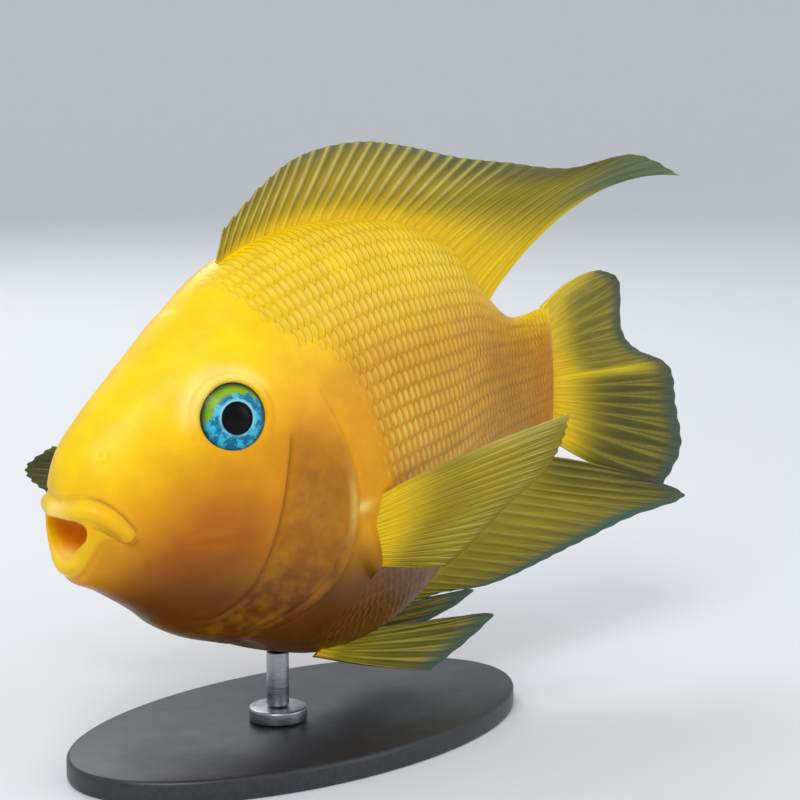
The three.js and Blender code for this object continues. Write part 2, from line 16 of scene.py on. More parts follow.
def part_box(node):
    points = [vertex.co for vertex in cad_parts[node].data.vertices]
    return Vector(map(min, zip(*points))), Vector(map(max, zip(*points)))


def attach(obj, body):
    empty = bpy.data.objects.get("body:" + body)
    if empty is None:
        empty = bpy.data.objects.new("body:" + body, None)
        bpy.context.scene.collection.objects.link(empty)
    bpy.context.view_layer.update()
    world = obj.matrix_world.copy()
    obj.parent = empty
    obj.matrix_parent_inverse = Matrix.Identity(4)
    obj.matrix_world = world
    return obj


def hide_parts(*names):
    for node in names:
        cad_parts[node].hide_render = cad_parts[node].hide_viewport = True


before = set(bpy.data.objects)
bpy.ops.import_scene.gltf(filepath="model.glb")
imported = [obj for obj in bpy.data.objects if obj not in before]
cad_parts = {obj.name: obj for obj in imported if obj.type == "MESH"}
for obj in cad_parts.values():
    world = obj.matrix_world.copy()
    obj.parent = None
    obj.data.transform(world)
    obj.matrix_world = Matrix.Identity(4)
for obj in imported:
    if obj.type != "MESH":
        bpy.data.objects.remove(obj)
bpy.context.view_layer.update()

bl_info = {
    "name": "Blood parrot cichlid model",
    "version": (1, 0, 0),
    "blender": (4, 5, 0),
    "location": "3D View > Sidebar > Cichlid",
    "description": "Builds the finished fish and its display stand round the packed solids",
    "category": "Object",
}

MM = 0.001
# The animal's sides, by the sign of y
LEFT = -1
RIGHT = 1
SIDES = {"left": LEFT, "right": RIGHT}

# Sizes and places that the solids are built from, repeated here so that the skin and fins fit them
UNIT = 1.4 * MM  # one percent of the standard length
# The fish is turned nose down by this angle, about the place on its axis with this s
NOSE_DOWN = math.radians(3)
BALANCE = 47
# The rear body bends to the left by BEND_SIZE, at this share of the length behind BEND_START
BEND_START = 50
BEND_REACH = 0.86
BEND_SIZE = 6.5
AXIS_HEIGHT = 70 * MM
# Exponent of the cross-sections: 2 is an ellipse, less is a ridge along the back and belly
RIDGE = 1.8
# Times that a range is halved to find a place on the back or belly
HALVINGS = 40
# Cross-sections: [back s, back z, belly s, belly z, half width, share of the height where it is widest]
SECTIONS = np.array([
    [0.4, -8, 0.4, -8, 0, 0.5],
    [0.7, -1.9, 1.3, -14.4, 4.3, 0.5],
    [2.7, 4.9, 6, -17.4, 7.7, 0.48],
    [7.9, 10.1, 11.9, -21.5, 10.6, 0.46],
    [15, 15.7, 19.3, -27.2, 13.2, 0.46],
    [22.9, 22, 28.4, -30.8, 15.4, 0.46],
    [31, 27.7, 37.9, -34.4, 16.8, 0.46],
    [41.4, 31.3, 47.6, -36.8, 17.1, 0.48],
    [54.3, 32.4, 57.1, -36.4, 16.4, 0.5],
    [67.9, 30.7, 67.9, -32.5, 13.9, 0.5],
    [79.3, 25.7, 77.9, -25, 10, 0.5],
    [87.1, 17.1, 86.4, -16.4, 6.8, 0.5],
    [93.6, 11.8, 93.6, -11.4, 4.6, 0.5],
    [100.7, 12.4, 100.7, -10.9, 2.6, 0.5],
    [103, 13.6, 103, -11.8, 0.9, 0.5],
])
LAST_SECTION = len(SECTIONS) - 1
# Rear edge of the gill cover and the groove in front of it, seen from the side: [s, z]
COVER_EDGE = [
    [33, 10], [36.3, 10.2], [38.5, 8], [41.6, 0.4], [43.4, -7], [43.2, -14.8],
    [40.2, -21.7], [34.3, -26.3], [28.5, -29], [22, -30],
]
COVER_GROOVE = [
    [32.2, 4.6], [31.2, 0.6], [29.6, -5.8], [27.6, -13.3], [25.4, -19.6], [21.5, -23.4], [15.6, -24],
]
# Border between the smooth head and the scales
SCALE_EDGE = [[10, 40], [17, 27], [22, 21], [28.5, 14.5], [33.5, 10.5]] + COVER_EDGE[1:-1] + [[26, -45]]
# Right half of each lip from the corner of the mouth, and its middle: [s, z, y, radius]
UPPER_LIP = [
    [6.1, -7.4, 8.3, 0.9], [4.4, -5.5, 7.3, 1.15], [2.9, -4.2, 5.6, 1.35],
    [1.8, -4.1, 3.5, 1.45], [1.1, -4.5, 1.7, 1.5],
]
UPPER_LIP_MIDDLE = [0.9, -4.8, 0, 1.5]
LOWER_LIP = [
    [4.6, -6.9, 7.2, 0.8], [3.4, -7.2, 5.7, 0.9], [2.4, -8.7, 4.5, 0.95],
    [1.8, -10.5, 3.3, 1], [1.3, -12, 1.8, 1.1],
]
LOWER_LIP_MIDDLE = [1.1, -12.7, 0, 1.2]
# The open mouth is wide under the upper lip and narrow behind the chin. Across is along s, y and z
MOUTH = {"place": [1.4, -8.2, 0], "across": [5.8, 4.6, 3.3], "narrow": 0.4, "wide": 1.5}
# Fold of skin at the corner of the mouth
LIP_FOLD = {"place": [6.8, -8.1, 8.5], "across": [1.5, 1, 1.1]}
# Fleshy root of the pectoral fin, and how far round it the skin is bare of scales
FIN_PAD = {"place": [46.6, -15.6, 14.2], "across": [2.6, 2.6, 6.6], "bare": [3.4, 7.5]}
FIN_PAD_LEAN = math.radians(-22)
NOSTRIL = {"place": [4.2, 4.4], "radius": 0.8}
# The eye with half its depth, how far it looks forward and up, and the fleshy rim round it
EYE = {"place": [23.4, 7.1, 11.8], "radius": 5.6, "half": 3}
EYE_FORWARD = math.radians(17)
EYE_UP = math.radians(8)
ORBIT = {"radius": 5.8, "tube": 0.8, "lift": 0.7}
# How far the roots of the dorsal and anal fins lie inside the body
ROOT_DEPTH = 1.5
CAUDAL_ROOT = 101.5
# Finer forms of the skin: corner of the mouth [s, z], and the line of the jaw behind it
MOUTH_CORNER = [5.5, -9.5]
JAW_LINE = [[7.2, -9], [8.6, -11.5], [10.2, -14.6], [11.2, -18.5]]
# Depths and heights of the skin's fine forms
RELIEF = {
    name: height * MM for name, height in {
        "groove bank": 0.28, "cover drop": 0.45, "cover fold": 0.2, "fold bank": 0.12,
        "cheek": 0.1, "throat": 0.16, "over lip": 0.42, "upper lip": 0.3, "under lip": 0.3,
        "jaw line": 0.35, "nostril": 0.9, "nostril rim": 0.22, "snout": 0.35, "under eye": 0.3,
    }.items()
}
# Between these heights the golden back comes in, and from this one down the dark underside, partly its
# deeper orange and partly painted shade: [s, z]
BACK_LOW = [[0, -11], [10, -9], [25, 0], [50, 10], [80, 12], [100, 2]]
BACK_HIGH = [[0, 2], [10, 9], [25, 17], [50, 28], [80, 24], [100, 12]]
UNDERSIDE = [[0, -8], [8, -8], [14, -7], [20, -7], [40, -10], [60, -12], [80, -10], [100, -6]]
# Soft spots of colour: the middle's s and z, and how far each spreads along s and z. The spots under
# and behind the eye and low on the cheek are partly the cheek's own orange and partly painted shade
SPOTS = {
    "under eye": [20, -10, 13, 10], "behind eye": [34, 0, 5, 7], "low cheek": [12, -15, 7, 6],
    "fin knob": [44.8, -9.8, 1.7, 0.9], "inner lip": [2.2, -11.1, 1.7, 1.3],
}
# Height that two streaks share on the rear of the side, and how the streaks fan out
STREAK_GAP = 5.6
STREAK_FAN = 0.012
# The skin is thinned out from this far behind the border of the scales, to this share of its faces
THINNED_FROM = 2.75
SKIN_KEPT = 0.45
# Scales begin this far behind their border and end at this s. The rows run between two sections
FIRST_SCALES = 1.5
LAST_SCALES = 101
SCALED_SECTIONS = (3.2, 13.15)
# Share of the pitch that the scales have: [section, share]
SCALE_PITCH = [[3, 0.6], [5.5, 0.85], [8, 1.0], [11, 0.86], [13.2, 0.6]]
# Size of one scale's patch on the map for baking
PATCH = 0.003
# Steps of a fin from root to tip, its different thicknesses, how far its edge is cut in between
# two rays, and how far the fleshy root reaches out
FIN_STEPS = 70
THICKNESSES = 400
EDGE_NOTCH = 0.01
SHEATH_REACH = 2.6 * MM

# Rays between which each fin is spread: where each leaves the body (or, for the two midline fins,
# its s on the back or belly), its tip, and how far its middle is bowed
DORSAL = [
    (31.4, [33.9, 33.2, 0], None), (35.7, [42.3, 39.5, 0], None),
    (42.9, [50.7, 42.9, 0], None), (51.4, [62.1, 43.8, 0], None),
    (60, [72.1, 42.3, 0], None), (67.9, [82.9, 39.6, 0], None),
    (74.3, [94.9, 37.6, 0], [0, 1, 0]), (79.3, [108.6, 35.5, 0], [0, 3, 0]),
    (83.6, [124.5, 36.5, 1], [0, 4.5, 0]), (88.2, [134.3, 31.9, 0], [-1, 12.8, 0]),
]
ANAL = [
    (62.9, [68, -34.4, 0], None), (65.7, [75.7, -33.4, 0], None),
    (70, [86.4, -34.2, 0], None), (74.6, [97.1, -32.7, -0.7], None),
    (79.2, [107.1, -30.6, -1.5], None), (83.4, [118.6, -27.8, -2.3], None),
    (87, [131.4, -26, -3], [0, -1, 0]), (90.6, [120.6, -20.7, -3.4], [0, 1.9, -0.4]),
]
CAUDAL = [
    ([CAUDAL_ROOT, 12.2, 0], [125, 15.2, 9.4], [-2, 3, -1.6]),
    ([CAUDAL_ROOT, 8, 0], [131.3, 12.4, 12.2], None),
    ([CAUDAL_ROOT, 4.8, 0], [129.6, 4.4, 9.5], None),
    ([CAUDAL_ROOT, 2, 0], [130.6, 0.2, 6.8], None),
    ([CAUDAL_ROOT, -0.8, 0], [134.6, -3.4, 3.6], None),
    ([CAUDAL_ROOT, -3.6, 0], [135.2, -10, 2.2], None),
    ([CAUDAL_ROOT, -6.4, 0], [134.8, -17.8, 1.2], None),
    ([CAUDAL_ROOT, -10.4, 0], [129.5, -23.9, 0.4], [-1, -3, 0]),
]
PECTORAL_ROOTS = [
    [44.8, -10.4, 14], [45.4, -12.4, 14], [46, -14.4, 14],
    [46.6, -16.2, 14], [47.3, -18, 13.8], [48, -20, 13.2],
]
PECTORAL_TIPS = {
    "left": [
        ([77.1, 0.9, 29.4], [0, 2, 1]), ([74.6, -2.8, 30.2], [0, 1, 1.5]),
        ([71, -7.4, 29.6], [0, 0.4, 2]), ([65, -11.9, 27.4], [0, 0, 2]),
        ([59.8, -17, 25], [0, 0, 2]), ([56.6, -21, 21.6], [0, 0, 1]),
    ],
    "right": [
        ([26.6, -4.2, 38.4], [4, 0, 3]), ([24, -8, 42.9], [5, 0, 3]),
        ([25.3, -11.4, 40.7], [5, 0, 3]), ([28.5, -14.4, 35.5], [5, 0, 3]),
        ([34.6, -17.6, 28.6], [5, 0, 3]), ([43.6, -20, 22.4], [3, 0, 1]),
    ],
}
PELVIC_ROOTS = [
    [43.8, -35.6, 4.6], [44.7, -35.2, 4.4], [45.6, -34.7, 4.2],
    [46.6, -34.1, 4], [47.6, -33.4, 3.8], [48.6, -32.6, 3.6],
]
PELVIC_TIPS = {
    "left": [
        ([64.6, -42.2, 9.1], [0, -1, 0]), ([69.8, -40.7, 8.9], [0, -1, 0]),
        ([75.3, -38.7, 8.7], [0, -1, 0]), ([80.6, -36.6, 7.8], [0, -1, 0]),
        ([75.5, -35.9, 6.6], [0, -1, 0]), ([66, -35.2, 5.2], [0, -1, 0]),
    ],
    "right": [
        ([65.6, -42, 7.4], [0, -1, 0]), ([73, -40.4, 5.6], [0, -1, 0]),
        ([82, -38, 3.8], [0, -1, 0]), ([86.3, -35.4, 2.7], [0, -1, 0]),
        ([79.1, -34.6, 2.4], [0, -1, 0]), ([65.3, -34.2, 2.8], [0, -1, 0]),
    ],
}

# The floor, the rim that curls up round it, the lights (place and size) and the sky, in metres
FLOOR_RADIUS = 1.6
FLOOR_CURL = 1.2
LAMPS = {
    "key": [(-0.75, -0.55, 0.95), 0.7],
    "fill": [(0.55, -0.95, 0.45), 0.8],
    "rim": [(0.35, 0.85, 0.8), 0.7],
}
SKY = (0.92, 0.95, 1.0)
SKY_STRENGTH = 0.7

# The photograph's viewpoint
CAMERA_TARGET = Vector((18.302, -12.854, 75.757)) * MM
CAMERA_DIRECTION = Vector((-0.68611, -0.71048, 0.15643))
CAMERA_DISTANCE = 500 * MM
CAMERA_LENS = 101.63


# Settings


def linear(value):
    value /= 255
    return value / 12.92 if value <= 0.04045 else ((value + 0.055) / 1.055) ** 2.4


def tint(name, description, red, green, blue):
    default = [linear(value) for value in (red, green, blue)]
    return FloatVectorProperty(
        name=name, description=description, size=3, subtype="COLOR", min=0, max=1, default=default
    )


def length(name, description, millimetres):
    return FloatProperty(
        name=name, description=description, default=millimetres * MM, min=0, unit="LENGTH",
        subtype="DISTANCE",
    )


def factor(name, description, default):
    return FloatProperty(
        name=name, description=description, default=default, min=0, max=1, subtype="FACTOR"
    )


def power(name, description, watts):
    return FloatProperty(name=name, description=description, default=watts, min=0, unit="POWER")


class SkinSettings(bpy.types.PropertyGroup):
    voxel: length("Voxel", "Grid on which body, lips and fin roots are fused", 0.46)
    depth: length("Depth", "How far the skin lies inside the solids, under the scales", 0.3)
    groove: length("Groove", "Depth of the groove in front of the gill cover", 0.6)
    cover: length("Cover", "How far the gill cover's free edge stands proud", 0.55)
    base: tint("Base", "General colour of the body", 238, 166, 2)
    back: tint("Back", "Forehead and back", 255, 208, 0)
    flank: tint("Flank", "Middle of the side", 222, 150, 6)
    # The cheek's deeper orange is partly its own colour and partly painted shade under and behind the eye
    cheek: tint("Cheek", "Below and behind the eye", 174, 92, 0)
    # The gill cover's brown, deeper low down, is partly its own mottled colour and partly painted shade
    gill: tint("Gill cover", "The mottled cover", 160, 98, 2)
    # Partly the deeper orange of throat and belly, partly painted shade under the body
    under: tint("Underside", "Throat and belly", 98, 50, 4)
    stem: tint("Tail stem", "Streaked gold in front of the tail fin", 180, 122, 2)
    band: tint("Band", "Upright orange band at the root of the tail fin", 208, 118, 0)
    streak: tint("Streaks", "Thin lengthwise streaks on the rear of the side", 140, 90, 6)
    lips: tint("Lips", "Both lips and the fold at their corner", 240, 194, 6)
    # Painted shade in the grooves round the lips and in front of the gill cover
    crease: tint("Creases", "Grooves round the lips and in front of the gill cover", 128, 76, 4)
    mouth: tint("Mouth", "Deep inside of the mouth", 236, 148, 10)
    # Painted highlights over the eye and on the upper lip's tip, with the pale inside of the lower lip
    brow: tint("Brow", "Pale rim over the eye, and inside the lower lip", 255, 226, 120)


class ScaleSettings(bpy.types.PropertyGroup):
    pitch: length("Pitch", "From one scale to the next along a row", 2.0)
    row: length("Row", "From one row to the next on the middle of the side", 3.7)
    lift: length("Lift", "How far the free edge of a scale stands above its root", 0.1)
    thickness: length("Thickness", "Thickness of one scale", 0.05)
    sink: length("Sink", "How far the root of a scale lies under the skin", 0.05)
    overlap: FloatProperty(
        name="Overlap", description="Length of a scale over the pitch", default=2.0, min=1, max=3
    )
    seed: IntProperty(name="Seed", description="Starts the small differences", default=7)
    # Partly the scales' pale colour, partly painted highlight on their free edges
    pale: tint("Pale dash", "Soft upright dash near the rear of each scale", 255, 214, 92)
    # Painted shade where a scale comes out from under the next
    seam: tint("Seam", "Where one scale comes out from under the next", 206, 132, 8)


class FinSettings(bpy.types.PropertyGroup):
    ray_root: length("Ray at root", "Thickness of a ray where it leaves the body", 1.3)
    ray_tip: length("Ray at tip", "Thickness of a ray at its tip", 0.42)
    web_root: length("Web at root", "Thickness of the membrane at its root", 0.7)
    web_tip: length("Web at edge", "Thickness of the membrane at its edge", 0.22)
    sheath: length("Sheath", "Added thickness of the fleshy root", 1.0)
    root: tint("Root", "Next to the body", 224, 186, 4)
    olive: tint("Olive", "Half way out", 132, 122, 4)
    slate: tint("Slate", "Greyish outer part", 70, 82, 54)
    dark: tint("Dark", "Dark web of the tail fin", 44, 50, 10)
    blue: tint("Blue", "Bluish edge", 48, 90, 86)
    stripe: tint("Stripe", "Bright ray in the middle of the tail fin", 216, 190, 8)
    pale: tint("Pale rays", "Milky streak along a ray", 212, 196, 112)


class EyeSettings(bpy.types.PropertyGroup):
    pupil: factor("Pupil", "Radius of the pupil over that of the eye", 0.44)
    blue: tint("Blue", "Lower iris", 16, 112, 146)
    cyan: tint("Cyan", "Bright patches of the iris", 62, 190, 224)
    green: tint("Green", "Upper iris", 132, 172, 8)
    # A painted highlight round the pupil, stronger on its upper side
    ring: tint("Ring", "Thin ring round the pupil", 150, 206, 206)
    limb: tint("Limb", "Dark outer edge", 4, 34, 34)
    black: tint("Pupil colour", "The pupil", 2, 2, 3)


class StandSettings(bpy.types.PropertyGroup):
    bevel: length("Edge", "Rounding of the base's upper edge", 1.0)
    paint: tint("Paint", "Satin paint of the base", 38, 39, 42)
    steel: tint("Steel", "Brushed steel of rod and foot", 176, 178, 182)


class StageSettings(bpy.types.PropertyGroup):
    floor: tint("Floor", "Plain pale floor and backdrop", 222, 224, 226)
    key: power("Key", "Power of the main light", 8)
    fill: power("Fill", "Power of the filling light", 1.8)
    rim: power("Rim", "Power of the light behind", 4)


# Places on the animal


def smooth(value, low, high):
    """Runs smoothly from 0 at low to 1 at high, which may be the smaller one."""
    share = np.clip((value - low) / (high - low), 0, 1)
    return share * share * (3 - 2 * share)


def hill(value, middle, spread):
    """1 at the middle, falling off smoothly to both sides."""
    return np.exp(-((value - middle) / spread) ** 2)


def value_on(line, at):
    """What a line of [place, value] pairs gives at one or more places."""
    return np.interp(at, *np.transpose(line))


def spot(name, s, z):
    """1 in the middle of a named spot on the side, falling off smoothly round it."""
    middle_s, middle_z, wide, high = SPOTS[name]
    return hill(s, middle_s, wide) * hill(z, middle_z, high)


def blend(rows, t, before=None):
    """Catmull-Rom blend of the rows of a table at each t, from 0 to its last row."""
    rows = np.asarray(rows, float)
    t = np.atleast_1d(np.asarray(t, float))
    i = np.minimum(np.floor(t).astype(int), len(rows) - 2)
    f = (t - i)[:, None]
    a = rows[np.maximum(i - 1, 0)].copy()
    if before is not None:
        a[i == 0] = before
    b, c, d = rows[i], rows[i + 1], rows[np.minimum(i + 2, len(rows) - 1)]
    slope_in, slope_out = (c - a) / 2, (d - b) / 2
    h = 2 * (b - c) + slope_in + slope_out
    return b + f * (slope_in + f * (3 * (c - b) - 2 * slope_in - slope_out + f * h))


def bend(s):
    return -BEND_SIZE * (np.maximum(0, s - BEND_START) / 100 / BEND_REACH) ** 2


def place(s, z, y):
    """Points of the part's frame for places on the animal."""
    s, z, y = np.broadcast_arrays(*(np.asarray(v, float) for v in (s, z, y)))
    along, up = (s - BALANCE) * UNIT, z * UNIT
    x = along * math.cos(NOSE_DOWN) - up * math.sin(NOSE_DOWN)
    height = along * math.sin(NOSE_DOWN) + up * math.cos(NOSE_DOWN) + AXIS_HEIGHT
    return np.stack([x, (y + bend(s)) * UNIT, height], axis=-1)


def unplace(points):
    """Places on the animal (s, z, y) for points of the part's frame."""
    x, height = points[:, 0], points[:, 2] - AXIS_HEIGHT
    s = (x * math.cos(NOSE_DOWN) + height * math.sin(NOSE_DOWN)) / UNIT + BALANCE
    z = (height * math.cos(NOSE_DOWN) - x * math.sin(NOSE_DOWN)) / UNIT
    return s, z, points[:, 1] / UNIT - bend(s)


def body(t, angle):
    """Points of the body's surface: t runs over the sections, angle from the back over the left side."""
    first = SECTIONS[1]
    mirrored = [first[2], first[3], first[0], first[1], -first[4], first[5]]
    back_s, back_z, belly_s, belly_z, half, level = blend(SECTIONS, t, mirrored).T
    up = np.cos(angle)
    reach = np.sign(up) * np.abs(up) ** (2 / RIDGE)
    share = level + reach * np.where(up > 0, 1 - level, level)
    s = belly_s + (back_s - belly_s) * share
    z = belly_z + (back_z - belly_z) * share
    return place(s, z, -half * np.sin(angle))


def midline(s, column):
    """Height of the back (column 0) or the belly (column 2) at s, found by halving."""
    low, high = 0, LAST_SECTION
    for _ in range(HALVINGS):
        middle = (low + high) / 2
        if blend(SECTIONS, middle)[0][column] < s:
            low = middle
        else:
            high = middle
    return blend(SECTIONS, low)[0][column + 1]


def from_line(s, z, line):
    """Distance in percent from a line seen from the side, above 0 on its left, and how far along it."""
    line = np.asarray(line, float)
    best = np.full(len(s), np.inf)
    signed = np.zeros(len(s))
    along = np.zeros(len(s))
    for i, (start, end) in enumerate(zip(line[:-1], line[1:])):
        step = end - start
        share = np.clip(((s - start[0]) * step[0] + (z - start[1]) * step[1]) / (step @ step), 0, 1)
        ds, dz = s - start[0] - share * step[0], z - start[1] - share * step[1]
        distance = np.hypot(ds, dz)
        nearer = distance < best
        side = np.sign(step[0] * dz - step[1] * ds)
        best = np.where(nearer, distance, best)
        signed = np.where(nearer, distance * np.where(side == 0, 1, side), signed)
        along = np.where(nearer, (i + share) / (len(line) - 1), along)
    return signed, along


def refined(line, times=6):
    """A line of places drawn as a smooth curve, with this many steps between two of them."""
    line = np.asarray(line, float)
    return blend(line, np.linspace(0, len(line) - 1, (len(line) - 1) * times + 1))


def eye_matrix(side):
    """Turns +Z to the eye's axis, and moves the origin to the eye."""
    axis = Vector((
        -math.sin(EYE_FORWARD) * math.cos(EYE_UP),
        side * math.cos(EYE_FORWARD) * math.cos(EYE_UP),
        math.sin(EYE_UP),
    ))
    pitch = Matrix.Rotation(-NOSE_DOWN, 4, "Y")
    turn = Vector((0, 0, 1)).rotation_difference(axis).to_matrix().to_4x4()
    s, z, y = EYE["place"]
    return Matrix.Translation(Vector(place(s, z, y * side))) @ pitch @ turn


# Meshes


def deselect():
    if bpy.context.object and bpy.context.object.mode != "OBJECT":
        bpy.ops.object.mode_set(mode="OBJECT")
    bpy.ops.object.select_all(action="DESELECT")


def edit_all():
    """Opens the active piece in edit mode with all of it selected."""
    bpy.ops.object.mode_set(mode="EDIT")
    bpy.ops.mesh.select_all(action="SELECT")


def named(name):
    """The object that an operator has just added, with its place in its mesh."""
    made = bpy.context.object
    bpy.ops.object.transform_apply(location=True, rotation=True, scale=True)
    made.name = made.data.name = name
    return made


def activate(piece):
    deselect()
    piece.select_set(True)
    bpy.context.view_layer.objects.active = piece


def read(piece):
    points = np.empty(len(piece.data.vertices) * 3)
    piece.data.vertices.foreach_get("co", points)
    return points.reshape(-1, 3)


def write(piece, points):
    piece.data.vertices.foreach_set("co", np.asarray(points, float).ravel())
    piece.data.update()


def normals(piece):
    found = np.empty(len(piece.data.vertices) * 3)
    piece.data.vertices.foreach_get("normal", found)
    return found.reshape(-1, 3)


def mark(piece, name, values):
    """Keeps a mask on the vertices, for the material to read."""
    count = len(piece.data.vertices)
    layer = piece.data.attributes.get(name) or piece.data.attributes.new(name, "FLOAT", "POINT")
    layer.data.foreach_set("value", np.broadcast_to(values, count).astype(np.float32))


def lay_uv(piece, name, places):
    """A UV map that gives each vertex one place."""
    corners = np.empty(len(piece.data.loops), int)
    piece.data.loops.foreach_get("vertex_index", corners)
    layer = piece.data.uv_layers.new(name=name)
    layer.data.foreach_set("uv", np.array(places)[corners].astype(np.float32).ravel())


def modified(piece, kind, **values):
    """Adds a modifier and applies it."""
    activate(piece)
    modifier = piece.modifiers.new(kind.title(), kind)
    for key, value in values.items():
        setattr(modifier, key, value)
    bpy.ops.object.modifier_apply(modifier=modifier.name)
    return piece


def joined(pieces):
    activate(pieces[0])
    for piece in pieces:
        piece.select_set(True)
    bpy.ops.object.join()
    return bpy.context.object


def outward(piece):
    """Turns all faces to the outside."""
    activate(piece)
    edit_all()
    bpy.ops.mesh.normals_make_consistent(inside=False)
    bpy.ops.object.mode_set(mode="OBJECT")


def finished(piece, finish, *nodes, slot):
    """Gives a piece its material and smooth shading, hangs it on the root, and hides the parts that it
    replaces.
    """
    activate(piece)
    bpy.ops.object.shade_smooth()
    piece.data.materials.clear()
    piece.data.materials.append(finish)
    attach(piece, "root")
    if nodes:
        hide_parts(*nodes)


def tree_of(piece):
    """The piece's faces, kept so that the nearest point on them is found fast."""
    return BVHTree.FromPolygons(
        [tuple(p) for p in read(piece)], [tuple(f.vertices) for f in piece.data.polygons]
    )


# Materials

# Masks that skin and scales carry, in the order in which their colours are laid. Some lay painted
# shade and highlights as well as colour
MARKINGS_AND_PAINTED_LIGHT = [
    "flank", "back", "cheek", "gill", "under", "stem", "streak", "band", "lips", "crease", "mouth",
    "brow",
]
# Tones of the fins, in the order in which they are laid over the root's colour
FIN_TONES = ["olive", "slate", "dark", "blue", "stripe", "pale"]
# What the skin and the scales share: light passes a little way into both
FLESH = {
    "Subsurface Weight": 0.2,
    "Subsurface Radius": (1.0, 0.6, 0.15),
    "Subsurface Scale": 1.2 * MM,
    "Coat Roughness": 0.14,
    "Specular IOR Level": 0.22,
}


def node(tree, kind, inputs=None, **settings):
    """A node with its settings; an input is linked to a socket or set to a value."""
    made = tree.nodes.new(kind)
    for key, value in settings.items():
        setattr(made, key, value)
    for key, value in (inputs or {}).items():
        if isinstance(value, bpy.types.NodeSocket):
            tree.links.new(value, made.inputs[key])
        else:
            made.inputs[key].default_value = value
    return made


def rgba(colour):
    return (*colour, 1)


def mixed(tree, share, first, second, mode="MIX"):
    """Two colours laid over each other. On this node they are inputs 6 and 7, and the result is 2."""
    inputs = {0: share, 6: first, 7: second}
    return node(tree, "ShaderNodeMix", inputs, data_type="RGBA", blend_type=mode).outputs[2]


def maths(tree, operation, *values):
    return node(tree, "ShaderNodeMath", dict(enumerate(values)), operation=operation).outputs[0]


def times(tree, product, *values):
    for value in values:
        product = maths(tree, "MULTIPLY", product, value)
    return product


def ranged(tree, value, low, high, to_low=0.0, to_high=1.0, curve="SMOOTHSTEP"):
    """The value's range from low to high laid on another range, smoothly unless told otherwise."""
    inputs = {
        "Value": value, "From Min": low, "From Max": high, "To Min": to_low, "To Max": to_high
    }
    return node(tree, "ShaderNodeMapRange", inputs, interpolation_type=curve).outputs["Result"]


def mask(tree, name):
    return node(tree, "ShaderNodeAttribute", attribute_name=name).outputs["Fac"]


def noise(tree, scale, detail=3.0, roughness=0.5, vector=None):
    where = vector or node(tree, "ShaderNodeTexCoord").outputs["Object"]
    inputs = {"Vector": where, "Scale": scale, "Detail": detail, "Roughness": roughness}
    return node(tree, "ShaderNodeTexNoise", inputs).outputs["Fac"]


def uneven(tree, scale, low, high, start=0.3):
    """A value that wanders between two levels in soft patches."""
    return ranged(tree, noise(tree, scale), start, 0.7, low, high)


def shaded(tree, colour, value, low, high, darkest, lightest):
    """A colour made darker or lighter as the value runs from low to high."""
    shade = ranged(tree, value, low, high, darkest, lightest, "LINEAR")
    grey = node(tree, "ShaderNodeCombineColor", {0: shade, 1: shade, 2: shade}).outputs[0]
    return mixed(tree, 1.0, colour, grey, "MULTIPLY")


def group(name, inputs, outputs):
    """An empty node group with named sockets, and what it is given and puts out, seen from inside."""
    made = bpy.data.node_groups.new(name, "ShaderNodeTree")
    for socket, kind in inputs.items():
        made.interface.new_socket(name=socket, in_out="INPUT", socket_type=kind)
    for socket, kind in outputs.items():
        made.interface.new_socket(name=socket, in_out="OUTPUT", socket_type=kind)
    return made, made.nodes.new("NodeGroupInput").outputs, made.nodes.new("NodeGroupOutput").inputs


def placed(tree, name, inputs):
    """The outputs of a node group put into a material with its own values."""
    return node(tree, "ShaderNodeGroup", inputs, node_tree=bpy.data.node_groups[name]).outputs


def material(name):
    made = bpy.data.materials.new(name)
    made.use_nodes = True
    made.node_tree.nodes.clear()
    return made, made.node_tree


def surfaced(tree, inputs):
    """Gives a material its Principled surface."""
    shader = node(tree, "ShaderNodeBsdfPrincipled", inputs)
    node(tree, "ShaderNodeOutputMaterial", {"Surface": shader.outputs[0]})


def bumped(tree, height, strength, distance):
    inputs = {"Height": height, "Strength": strength, "Distance": distance}
    return node(tree, "ShaderNodeBump", inputs).outputs["Normal"]


def markings_and_painted_light_group():
    """The animal's colours, with their painted shade and highlights, laid one over another by the masks
    that skin and scales carry.
    """
    sockets = {name: "NodeSocketColor" for name in ["base", *MARKINGS_AND_PAINTED_LIGHT]}
    tree, given, out = group("markings", sockets, {"Color": "NodeSocketColor"})
    colour = given["base"]
    for name in MARKINGS_AND_PAINTED_LIGHT:
        colour = mixed(tree, mask(tree, name), colour, given[name])
    soft = ranged(tree, noise(tree, 120, 4, 0.55), 0.3, 0.7)
    tree.links.new(shaded(tree, colour, soft, 0.0, 1.0, 0.9, 1.06), out["Color"])


def flesh_group():
    """Fine relief of wet fish skin: soft dimples and small pores."""
    sockets = {"Dimples": "NodeSocketFloat", "Pores": "NodeSocketFloat"}
    tree, given, out = group("flesh", sockets, {"Height": "NodeSocketFloat"})
    dimples = times(tree, noise(tree, 380, 3), given["Dimples"])
    pores = times(tree, noise(tree, 1900, 2), given["Pores"])
    tree.links.new(maths(tree, "ADD", dimples, pores), out["Height"])


def marked(tree, settings):
    """The colour that the group of colours and painted light gives, with the tints set for the animal."""
    colours = {name: rgba(getattr(settings, name)) for name in ["base", *MARKINGS_AND_PAINTED_LIGHT]}
    return placed(tree, "markings", colours)["Color"]


